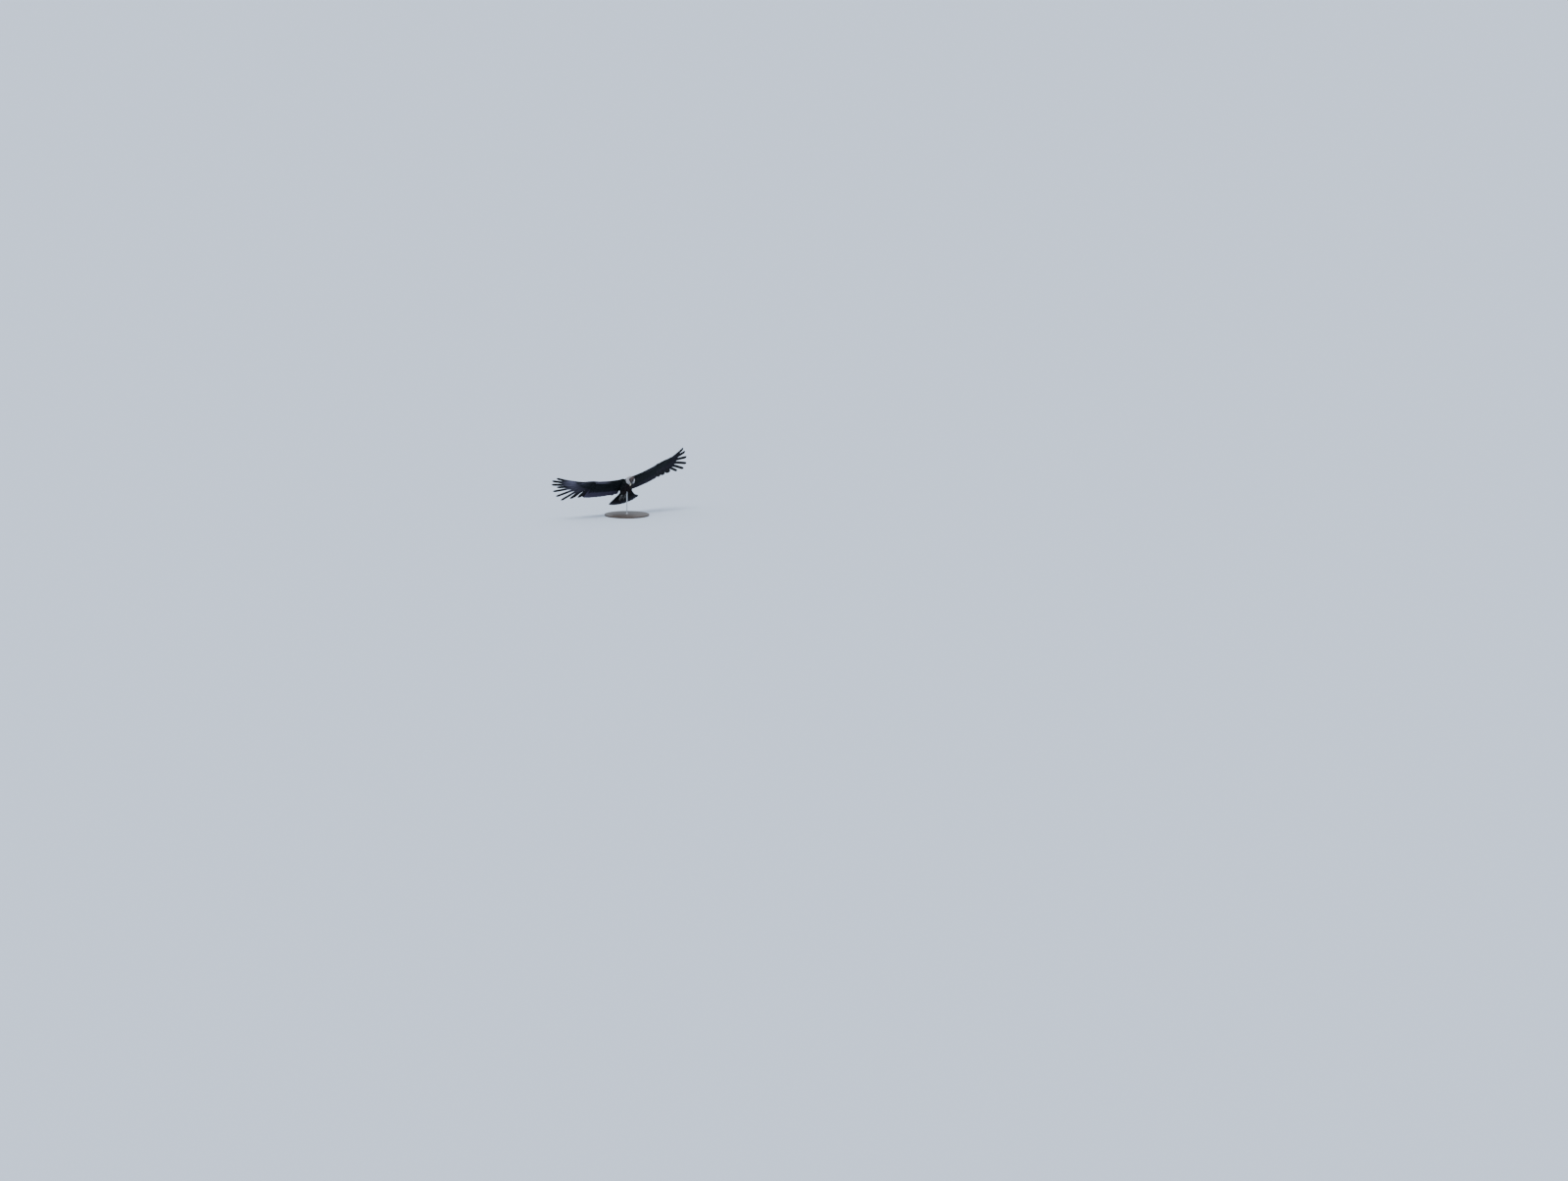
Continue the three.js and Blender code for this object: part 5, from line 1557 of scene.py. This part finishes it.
def joint_quills(side, group, side_up):
    """Feathers that lie over (1) or under (-1) the wing's root and point back and outwards."""
    tiers, counts, y_at, x_at, reach, grow, shortest, spread, heights, lift, half = group
    rows = []
    for tier in range(tiers):
        f, count = tier / (tiers - 1), counts[0] if tier < DEEP_TIERS else counts[1]
        for i in range(count):
            across = (i + 0.5 * (tier % 2)) / (count - 0.5)
            y = y_at[0] + y_at[1] * across + dice.normal(0, 0.002)
            back = (reach[0] + reach[1] * f) * (grow[0] + grow[1] * across) * dice.uniform(shortest, 1.08)
            x = x_at[0] + x_at[1] * f + x_at[2] * across + dice.normal(0, 0.004)
            end = (x - back, y + (spread[0] + spread[1] * across) * back, heights[1])
            rise = (0.002, lift[0] + lift[1] * tier ** lift[2])
            rows.append(draped_feather(side, (x, y, heights[0]), end, side_up, rise, half[0] + half[1] * f,
                                       GREENISH_BLACK * dice.uniform(0.8, 1.3)))
    return rows


FLANK_AT, FLANK_TO = ((-0.095, 0.098), (-0.235, 0.050)), ((-0.262, 0.172), (-0.385, 0.275))
FLANK_COUNT, FLANK_HALF = 11, 0.021


def flank_quills():
    """Long loose feathers of the left flank, which fill the corner between wing, body and tail."""
    rows, shares = [], np.linspace(0, 1, DRAPED_STEPS)
    for tier in range(3):
        for i in range(FLANK_COUNT):
            share = (i + 0.5 * (tier % 2)) / FLANK_COUNT
            (x, y), (end_x, end_y) = (np.array(p[0]) * (1 - share) + np.array(p[1]) * share
                                      for p in (FLANK_AT, FLANK_TO))
            cut = 1.0 - 0.22 * tier + dice.normal(0, 0.025)
            start = np.array([x, y, -0.020 - 0.004 * tier])
            end = between(start, np.array([end_x, end_y, -0.024 - 0.024 * share - 0.004 * tier]), cut)
            tone = GREENISH_BLACK * dice.uniform(0.8, 1.3)
            rows.append(quill(between(start, end, shares[:, None]), -TAIL_UP,
                              leaf(shares, FLANK_HALF, 0.35, 0.45, 0.9), 0.001, [0.06, 0.10, 0.0],
                              (share, 0.4 + 0.2 * tier), [(0, tone)]))
    return rows


def thigh_quills(side):
    """Short feathers down the thigh, as far as the bare shank."""
    rows, shares = [], np.linspace(0, 1, BODY_STEPS)
    path = curve_through(LEG[:6], 8)
    path[:, 1] *= SIDES[side]
    along = unit(np.gradient(path[:, :3], axis=0))
    sideways = unit(np.cross([0.0, 1.0, 0.0], along))
    other = np.cross(along, sideways)
    numbers = range(len(path))
    for number in np.linspace(3, len(path) - 8, 14):
        radius = float(np.interp(number, numbers, path[:, 3]))
        count = max(9, round(2 * math.pi * radius / THIGH_PITCH))
        for angle in (np.arange(count) + 0.5 * (number % 2)) * 2 * math.pi / count:
            angle = angle + dice.normal(0, 0.08)
            spots = np.clip(number + shares * 12.0 * dice.uniform(0.8, 1.15), 0, len(path) - 1)
            middle = columns_at(spots, numbers, path)
            out = columns_at(spots, numbers, math.cos(angle) * sideways + math.sin(angle) * other)
            lift = -THIGH_COAT * (1 - shares) - 0.001 + 0.003 * shares
            tone = FLANK_BROWN * dice.uniform(0.7, 1.2)
            rows.append(quill(middle[:, :3] + out * (middle[:, 3:] + lift[:, None]), out,
                              leaf(shares, THIGH_HALF, 0.4, 0.45, 0.9), 0.0008, [0.0, 0.12, 0.0],
                              (angle / 7, number / 40), [(0, tone)], 0.8))
    return rows


for side in SIDES:
    coat_piece("shoulder_" + side, joint_quills(side, SHOULDER, 1), 9.0)
    coat_piece("wingpit_" + side, joint_quills(side, WINGPIT, -1), 10.0)
    coat_piece("thigh_" + side, thigh_quills(side), 11.0, "small", 0.16, 0.20, 0.0002, 1.0)
coat_piece("flank_left", flank_quills(), 13.0)

# %% [markdown]
# ## The collar of down
# A thick ruff of white down circles the base of the bare neck and is open at the throat. Each lock
# is a narrow soft vane that starts on a ring round the neck and curls outwards and back. We could
# set the locks in rings, but rings would show. Six outlines guide them instead, and each lock lies
# anywhere between two of them, with its length and bend left to chance.

# %% The ruff
RUFF_CENTRE, RUFF_AXIS, RUFF_OPENING = np.array([0.166, -0.001, -0.107]), unit([0.94, -0.116, -0.316]), 0.40
RUFF_LEFT = unit(np.cross([0, 0, 1.0], RUFF_AXIS))
RUFF_TOP = np.cross(RUFF_AXIS, RUFF_LEFT)
RUFF_CORE = [[0.028, -0.011], [0.038, -0.010], [0.043, -0.002], [0.036, 0.007], [0.0275, 0.006]]
RUFF_TIERS = np.array([[[0.030, -0.013], [0.047, -0.026], [0.060, -0.045]],
                       [[0.037, -0.012], [0.060, -0.022], [0.078, -0.042]],
                       [[0.038, -0.009], [0.066, -0.015], [0.087, -0.032]],
                       [[0.036, 0.000], [0.062, 0.004], [0.085, -0.006]],
                       [[0.034, 0.008], [0.053, 0.021], [0.073, 0.022]],
                       [[0.028, 0.010], [0.036, 0.024], [0.048, 0.034]]])
RUFF_LOCKS, LOCK_STEPS = 3300, 6


def ruff_point(angle, radius, along):
    angle, radius, along = (np.asarray(v)[..., None] for v in (angle, radius, along))
    return (RUFF_CENTRE + RUFF_AXIS * along + RUFF_LEFT * np.sin(angle) * radius
            + RUFF_TOP * np.cos(angle) * radius)


def ruff_quills():
    free, rows, shares = math.pi - RUFF_OPENING, [], np.linspace(0, 1, LOCK_STEPS)
    for _ in range(RUFF_LOCKS):
        angle, tier = dice.uniform(-free, free), dice.uniform(0, 4.9)
        low = int(tier)
        profile = between(RUFF_TIERS[low], RUFF_TIERS[low + 1], tier - low)
        reach = dice.uniform(0.62, 1.0) * (0.80 + 0.20 * math.cos(angle * 0.5) ** 2)
        spots = shares * 2 * reach
        radius = np.interp(spots, [0, 1, 2], profile[:, 0])
        along = np.interp(spots, [0, 1, 2], profile[:, 1]) + dice.normal(0, 0.003) * shares
        turn = angle + dice.normal(0, 0.15) * shares**1.5
        at = ruff_point(turn, radius, along)
        across = ruff_point(turn + 0.01, radius, along) - at
        run = np.gradient(at, axis=0)
        face = unit(np.cross(run, across)) * (1 if dice.uniform() < 0.5 else -1)
        width = dice.uniform(0.0014, 0.0030) * np.interp(shares, [0, 0.35, 0.8, 1], [0.6, 1, 0.85, 0.55])
        # The down is white; its tint is lowered to a light grey as painted shade.
        tone = DOWN_WHITE_IN_SHADE * dice.uniform(0.86, 1.04)
        rows.append(quill(at, face, width, 0.0006, [dice.normal(0, 0.3), 0.30, dice.normal(0, 0.006)],
                          (angle / 7 + 0.5, 0.1 + 0.04 * tier), [(0, tone * 0.75), (0.5, tone)],
                          [(0, tone * 0.7), (0.5, tone * 0.95)]))
    return rows


def ruff_core():
    """The pad under the down, bent round the neck and open at the throat."""
    end = math.pi - 0.9 * RUFF_OPENING
    section = np.array(curve_through(RUFF_CORE + RUFF_CORE[:1], 4))[:-1]
    rings = [ruff_point(np.full(len(section), a), *section.T) for a in np.linspace(-end, end, 61)]
    return solid_object("ruff_pad", [loft(rings)])


def pad_finish():
    material, tree, shader = new_material("down_pad", 0.9, 0.2)
    cloud = object_place(tree).noise(240.0)
    drive(tree, shader, cloud, 1.0, 0.002,
          base_color=mixed_colour(tree, cloud, (0.48, 0.47, 0.45), (0.72, 0.71, 0.69)))
    return material


ride_root(ruff_core(), "ruff_down", finish=pad_finish())
down = lay_vanes("ruff_down", ruff_quills(), "down", DOWN_FINISH, 0.30, 0.35, 0.0002, 2.5, seed=12.0)
ride_root(down, "ruff_down", "ruff")

# %% [markdown]
# ## Eyes and bill
# The eye is a wet ball, brown round a wide pupil, set deep between brow and lid. The bill is a
# horn sheath, dark at its root and ivory at the hooked tip. Both are separate from the skin, as in
# a real mount. A loft through a few outlines gives the bill's hook, where a bent cone would look
# like a toy.

# %% Eyes
IRIS, PUPIL, EYE_WHITE = np.array([[0.070, 0.026, 0.010], [0.002, 0.002, 0.002], [0.020, 0.012, 0.010]])
PUPIL_SHARE, IRIS_SHARE = 0.36, 0.98


def eyeball(side):
    """Ball whose rings close in on the line of sight, so that pupil and iris have clean rims."""
    centre = EYE_AT * [1, SIDES[side], 1]
    sight = unit(np.array([math.sin(LID_TURN), SIDES[side] * math.cos(LID_TURN), 0.0]))
    angles = np.concatenate([np.linspace(0.03, 0.9, 26), np.linspace(0.98, math.pi - 0.1, 16)])
    up = np.array([0, 0, 1.0])
    other = np.cross(sight, up)
    around = circle(40)[:, None]
    round_sight = np.cos(around) * up + np.sin(around) * other
    rings = [centre + EYE_RADIUS * (sight * math.cos(a) + math.sin(a) * round_sight) for a in angles]
    piece = solid_object("eye_ball_" + side, [loft_on_head(rings)])
    local = in_head(bird_places(piece))
    off_sight = np.arccos(np.clip(unit(local - centre) @ sight, -1, 1))
    tones = np.where((off_sight < PUPIL_SHARE)[:, None], PUPIL, IRIS)
    tones = np.where((off_sight > IRIS_SHARE)[:, None], EYE_WHITE, tones)
    tones[(abs(off_sight - IRIS_SHARE) < 0.07) & (off_sight < IRIS_SHARE)] *= 0.45
    store_tones(piece, tones)
    return piece


def eye_finish():
    material, tree, shader = new_material("wet_eye", 0.06, 0.35, coat_weight=0.35, coat_roughness=0.02)
    rays = object_place(tree, 1400.0).noise()
    plug(tree, shader.inputs["Base Color"], attribute_field(tree, "tone") * (rays * 0.9 + 0.55))
    return material


EYE_FINISH = eye_finish()
for side in SIDES:
    ride_root(eyeball(side), "eye", "eye_" + side, finish=EYE_FINISH)

# %% Bill
BILL_UPPER = [[0.0500, 0.0110, 0.004, -0.012], [0.0595, 0.0134, 0.008, -0.013],
              [0.072, 0.0126, 0.009, -0.014], [0.086, 0.0112, 0.007, -0.015], [0.097, 0.009, 0.002, -0.017],
              [0.105, 0.0064, -0.006, -0.022], [0.110, 0.004, -0.015, -0.029],
              [0.1108, 0.0016, -0.0255, -0.0345]]
BILL_LOWER = [[0.0500, 0.0095, -0.0130, -0.0220], [0.0590, 0.0112, -0.0132, -0.0236],
              [0.074, 0.010, -0.0143, -0.0245], [0.088, 0.0078, -0.0153, -0.024],
              [0.097, 0.0044, -0.0165, -0.0215]]
BILL_DARK, BILL_IVORY = np.array([0.030, 0.026, 0.024]), np.array([0.60, 0.53, 0.38])
BILL_CHANGE = (0.070, 0.094)
RIDGE_POWER, CHEEK_POWER = 1.5, 0.7


def bill_section(x, half, top, bottom, count=28):
    """Outline of the bill: a narrow ridge above, full cheeks, and a flat cutting edge below."""
    angle = circle(count)
    c, s = np.cos(angle), np.sin(angle)
    side = np.sign(c) * np.where(s > 0, np.abs(c) ** RIDGE_POWER, np.abs(c) ** CHEEK_POWER)
    middle = between(bottom, top, 0.36)
    z = np.where(s > 0, middle + (top - middle) * s, middle + (middle - bottom) * s)
    return np.stack([x + 0 * z, half * side, z], -1)


def bill_piece(name, rows, node_name):
    piece = solid_object(name, [loft_on_head([bill_section(*row) for row in curve_through(rows, 8)])])
    piece.modifiers.new("round", "SUBSURF").levels = 1
    piece = settle(piece, name)
    piece.data.shade_smooth()
    start, stop = BILL_CHANGE
    share = np.clip((in_head(bird_places(piece))[:, 0] - start) / (stop - start), 0, 1)[:, None]
    store_tones(piece, between(BILL_DARK, BILL_IVORY, share**1.4))
    ride_root(piece, "horn", node_name, finish=HORN_FINISH)


def horn_finish():
    material, tree, shader = new_material("horn", 0.32, coat_weight=0.25)
    place = object_place(tree)
    x, y, z = (place * 260.0).parts()
    growth = vector(tree, x * 0.35, y * 0.35, z * 2.2).noise()
    fine = place.noise(1500.0)
    drive(tree, shader, growth + fine * 0.4, 0.5, 0.0005,
          base_color=attribute_field(tree, "tone") * (growth * 0.7 + 0.65) * (fine * 0.3 + 0.85))
    return material


HORN_FINISH = horn_finish()
bill_piece("bill_upper_horn", BILL_UPPER, "bill_upper")
bill_piece("bill_lower_horn", BILL_LOWER, "bill_lower")

# %% [markdown]
# ## Feet
# Three long flat-soled toes trail behind, joined at the root, and the hind toe is small and high.
# The toes' upper sides carry a row of horny plates. Geometry Nodes lays them: a tree resamples the
# middle line of each toe, puts a plate on each point, turned along the line, and scales it by the
# radius stored there. A bump map alone would not show the steps in the toe's outline.

# %% Toes
FOOT_AT, FOOT_PAD, FOOT_DROOP = np.array([-0.294, 0.042, -0.060]), (0.015, 0.012, 0.010), -0.02
TOES = [(-0.30, 0.076), (-0.02, 0.112), (0.30, 0.080)]
TOE_RADIUS, CLAW_LENGTH = 0.0085, 0.024
TOE_SHAPE = [  # share of the toe's length, drop of its middle line, share of its radius
    (0, 0, 1.0), (0.20, -0.0025, 0.80), (0.34, -0.001, 1.0), (0.48, 0.0, 0.78), (0.64, 0.0005, 0.90),
    (0.80, 0.002, 0.68), (0.93, 0.0035, 0.74), (1.0, 0.004, 0.55)]
CLAW_SHAPE = [(0.25, 0.0035, 0.46), (0.5, 0.006, 0.36), (0.8, 0.011, 0.19), (0.93, 0.0155, 0.05)]
HIND_TOE = np.array([[0, 0.006, 0.004, 0.0065], [0.010, 0.014, 0.016, 0.006], [0.026, 0.017, 0.026, 0.0046],
                     [0.036, 0.017, 0.036, 0.0009]])
TOE_TONE, PLATE_TONE, CLAW_TONE = np.array([[0.120, 0.115, 0.112], [0.200, 0.192, 0.186],
                                            [0.022, 0.020, 0.020]])


def toe_lines(side):
    """Middle line with radius of each long toe's flesh and of its claw."""
    sign, lines = SIDES[side], []
    for turn, length in TOES:
        along = unit(np.array([-math.cos(turn), sign * math.sin(turn), FOOT_DROOP]))
        r = TOE_RADIUS
        flesh = [[share * length, drop, size * r] for share, drop, size in TOE_SHAPE]
        claw = [[length - 0.006, 0.003, 0.50 * r]]
        claw += [[length + share * CLAW_LENGTH, drop, size * r] for share, drop, size in CLAW_SHAPE]
        for rows in (flesh, claw):
            rows = np.array(rows)
            base = FOOT_AT * [1, sign, 1] - np.outer(rows[:, 1], [0, 0, 1])
            lines.append(curve_through(np.column_stack([base + along * rows[:, :1], rows[:, 2]]), 6))
    hind = FOOT_AT * [1, sign, 1] + HIND_TOE[:, :3] * [-1, -sign, -1]
    hind = curve_through(np.column_stack([hind, HIND_TOE[:, 3]]), 6)
    return lines[0::2] + [hind[:14]], lines[1::2] + [hind[12:]]


def foot_flesh(side):
    toes, _ = toe_lines(side)
    parts = [loft(tube_rings(line[:, :3], line[:, 3], 16)) for line in toes]
    points, faces = ellipsoid(FOOT_PAD, 0.15, 12, 18)
    parts.append((points + FOOT_AT * [1, SIDES[side], 1], faces))
    shank = curve_through(LEG[5:], 5) * [1, SIDES[side], 1, 1]
    parts.append(loft(tube_rings(shank[:, :3], shank[:, 3] * 1.04 + 0.0003, 20)))
    foot = fused(solid_object("foot_shapes_" + side, parts), "foot_flesh_" + side, 0.0012, 3)
    foot.data.shade_smooth()
    return foot


def foot_finish():
    material, tree, shader = new_material("foot_skin", 0.55, 0.4)
    place = object_place(tree)
    grain = (place.cells(420.0, feature="DISTANCE_TO_EDGE") * 9.0).at_most(1.0)
    dust = place.noise(90.0)
    skin = mixed_colour(tree, grain, TOE_TONE * 0.45, TOE_TONE * 1.15)
    drive(tree, shader, grain, 0.9, 0.0007, base_color=skin * (dust * 0.8 + 0.6))
    return material


def plate_finish():
    material, tree, shader = new_material("foot_plates", 0.42)
    dust = object_place(tree).noise(420.0)
    drive(tree, shader, dust, 0.5, 0.0004,
          base_color=mixed_colour(tree, dust, PLATE_TONE * 0.55, PLATE_TONE * 1.3))
    return material


print("toes:", len(TOES) + 1, "on each foot")

# %% Plates on toes and shank
PLATE_GAP = 0.0042


def plate_blank():
    """One horny plate for a toe of radius 1: a bent closed shell with a raised hinder edge."""
    made = bmesh.new()
    angles, rows = np.linspace(-1.15, 1.15, 9), []
    for x, rise, thick in ((-0.34, 0.97, 0.02), (-0.10, 1.03, 0.08), (0.22, 1.10, 0.10), (0.34, 1.05, 0.03)):
        for height in (rise, rise - thick - 0.06):
            rows.append([made.verts.new((x, height * math.sin(a), height * math.cos(a))) for a in angles])
    outer, inner = rows[0::2], rows[1::2]
    for shell, flip in ((outer, False), (inner, True)):
        for first, second in zip(shell, shell[1:]):
            for j in range(len(angles) - 1):
                corner = [first[j], second[j], second[j + 1], first[j + 1]]
                made.faces.new(corner[::-1] if flip else corner)
    for first, second in ((outer[0], inner[0]), (outer[-1], inner[-1])):
        for j in range(len(angles) - 1):
            made.faces.new((first[j], first[j + 1], second[j + 1], second[j]))
    for j in (0, -1):
        for k in range(3):
            made.faces.new((outer[k][j], inner[k][j], inner[k + 1][j], outer[k + 1][j]))
    return object_of("plate_blank", made)


def build_plate_tree():
    tree, given = new_tree("plates_on_lines", {"Blank": "Object", "Material": "Material", "Gap": "Float",
                                              "Seed": "Int"})
    curves = result(tree, "GeometryNodeMeshToCurve", {"Mesh": given["Geometry"]})
    curves = result(tree, "GeometryNodeResampleCurve", {"Curve": curves, "Length": given["Gap"]},
                    mode="LENGTH")
    points = node(tree, "GeometryNodeCurveToPoints", {"Curve": curves}, mode="EVALUATED")
    jitter = node(tree, "FunctionNodeRandomValue", {2: 0.92, 3: 1.06, "Seed": given["Seed"]}).outputs[1]
    size = named(tree, "radius_here") * Field(tree, jitter)
    along, up = points.outputs["Tangent"], named(tree, "up_here", "FLOAT_VECTOR")
    turn = result(tree, "FunctionNodeAlignRotationToVector", {"Vector": along}, axis="X")
    turn = result(tree, "FunctionNodeAlignRotationToVector", {"Rotation": turn, "Vector": up}, axis="Z",
                  pivot_axis="X")
    plates = blanks_on(tree, points.outputs[0], given["Blank"], Rotation=turn, Scale=size)
    return end_tree(tree, plates, given["Material"])


PLATE_TREE, PLATE_BLANK = build_plate_tree(), plate_blank()
FOOT_FINISH, PLATE_FINISH = foot_finish(), plate_finish()


def line_mesh(name, lines, up):
    points = np.vstack([line[:, :3] for line in lines])
    edges, first = [], 0
    for line in lines:
        edges += [(first + i, first + i + 1) for i in range(len(line) - 1)]
        first += len(line)
    data = bpy.data.meshes.new(name)
    data.from_pydata(to_row(points).tolist(), edges, [])
    keep(data, "radius_here", "FLOAT", np.concatenate([line[:, 3] for line in lines]))
    keep(data, "up_here", "FLOAT_VECTOR", np.vstack([np.tile(u @ BIRD_AXES.T, (len(line), 1))
                                                     for u, line in zip(up, lines)]))
    return link_up(name, data)


def make_foot(side):
    toes, claws = toe_lines(side)
    ride_root(foot_flesh(side), "foot_scales", "foot_" + side, finish=FOOT_FINISH)
    shank = curve_through(LEG[5:8], 6) * [1, SIDES[side], 1, 1]
    upward, forward = np.array([0, 0, 1.0]), unit(np.array([0.35, 0, -1.0]))
    carrier = line_mesh("plate_lines_" + side, [line[4:] for line in toes[:3]] + [shank],
                        [upward] * 3 + [forward])
    ride_root(run_tree(carrier, "foot_plates_" + side, PLATE_TREE, Blank=PLATE_BLANK, Material=PLATE_FINISH,
                       Gap=PLATE_GAP, Seed=3), "foot_scales")
    nails = solid_object("claws_" + side, [loft(tube_rings(line[:, :3], line[:, 3], 14)) for line in claws])
    store_tones(nails, np.tile(CLAW_TONE, (len(nails.data.vertices), 1)))
    ride_root(nails, "horn", finish=HORN_FINISH)


for side in SIDES:
    make_foot(side)
bpy.data.objects.remove(PLATE_BLANK)

# %% [markdown]
# ## The stand
# A turned disc of dark wood carries a steel rod that rises into the belly. Both are turned
# profiles, so spinning an outline with rounded edges makes them, and bevels keep the highlights
# soft. The wood's grain is bands of noise stretched one way, as sawn boards show.

# %% Disc and rod
BASE_RADIUS, BASE_THICK, BASE_EDGE = 0.400, 0.024, 0.004
ROD_RADIUS, ROD_FOOT, ROD_RIM, FOOT_HEIGHT, NECK_HEIGHT = 0.009, 0.034, 0.005, 0.009, 0.006
GRAIN_LONG, GRAIN_ACROSS = 3.0, 34.0


def rounded(outline, radius, steps=5):
    """Outline of radius and height with its inner corners rounded off."""
    outline, found = np.array(outline, float), []
    for i, corner in enumerate(outline):
        if i in (0, len(outline) - 1):
            found.append(corner)
            continue
        before, after = outline[i - 1] - corner, outline[i + 1] - corner
        reach = min(radius, 0.45 * np.linalg.norm(before), 0.45 * np.linalg.norm(after))
        a, b = corner + unit(before) * reach, corner + unit(after) * reach
        for u in np.linspace(0, 1, steps):
            found.append((1 - u) ** 2 * a + 2 * u * (1 - u) * corner + u**2 * b)
    return np.array(found)


def turned(name, outline, count):
    """Outline of radius and height spun about the upright axis, with flat ends."""
    angle, made = circle(count), bmesh.new()
    rings = [[made.verts.new(p) for p in np.stack([r * np.cos(angle), r * np.sin(angle), z + 0 * angle], -1)]
             for r, z in outline]
    for first, second in zip(rings, rings[1:]):
        for j in range(count):
            made.faces.new((first[j], first[(j + 1) % count], second[(j + 1) % count], second[j]))
    made.faces.new(rings[0][::-1])
    made.faces.new(rings[-1])
    piece = object_of(name, made)
    for polygon in piece.data.polygons:
        polygon.use_smooth = len(polygon.vertices) == 4
    return piece


def wood_finish():
    material, tree, shader = new_material("dark_wood", 0.42, coat_weight=0.2, coat_roughness=0.25)
    x, y, z = object_place(tree).parts()
    wave = object_place(tree).noise(4.0)
    board = vector(tree, x * GRAIN_LONG, y * GRAIN_ACROSS + wave * 5.0, z * GRAIN_ACROSS).noise()
    pores = vector(tree, x * 22.0, y * 520.0, z * 520.0).noise()
    colour = mixed_colour(tree, board, (0.020, 0.0125, 0.0085), (0.075, 0.046, 0.030))
    drive(tree, shader, pores + board * 0.4, 0.35, 0.0004, base_color=colour * (pores * 0.8 + 0.6),
          roughness=board * 0.20 + 0.34)
    return material


def steel_finish():
    material, tree, shader = new_material("brushed_steel", 0.30, metallic=1.0,
                                          base_color=(0.56, 0.57, 0.59, 1))
    x, y, z = object_place(tree).parts()
    lines = vector(tree, x * 300.0, y * 300.0, z * 5200.0).noise()
    smears = object_place(tree).noise(30.0)
    drive(tree, shader, lines, 0.25, 0.0002, roughness=lines * 0.18 + smears * 0.14 + 0.20)
    return material


def make_stand():
    low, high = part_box("stand_rod")
    floor, top = float(low[2]), float(high[2])
    disc = [[0.002, 0.0], [BASE_RADIUS, 0.0], [BASE_RADIUS, BASE_THICK - BASE_EDGE],
            [BASE_RADIUS - BASE_EDGE, BASE_THICK], [0.002, BASE_THICK]]
    rod = [[0.0004, floor], [ROD_FOOT, floor], [ROD_FOOT, floor + ROD_RIM],
           [ROD_RADIUS + 0.005, floor + FOOT_HEIGHT], [ROD_RADIUS, floor + FOOT_HEIGHT + NECK_HEIGHT],
           [ROD_RADIUS, top], [0.0004, top]]
    base = turned("turned_base", rounded(disc, 0.0022), 160)
    ride_root(base, "stand_wood", "stand_base", finish=wood_finish())
    post = turned("steel_rod", rounded(rod, 0.0015), 64)
    ride_root(post, "stand_steel", "stand_rod", finish=steel_finish())


make_stand()

# %% Put the blanks away
for blank in BLANKS.values():
    bpy.data.objects.remove(blank)
print(len(BLANKS), "blanks removed")

# %% [markdown]
# ## The size
# The dressed bird is meant to stay inside the imported model; the box round its shown pieces is worked out.

# %% Sizes
low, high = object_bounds()
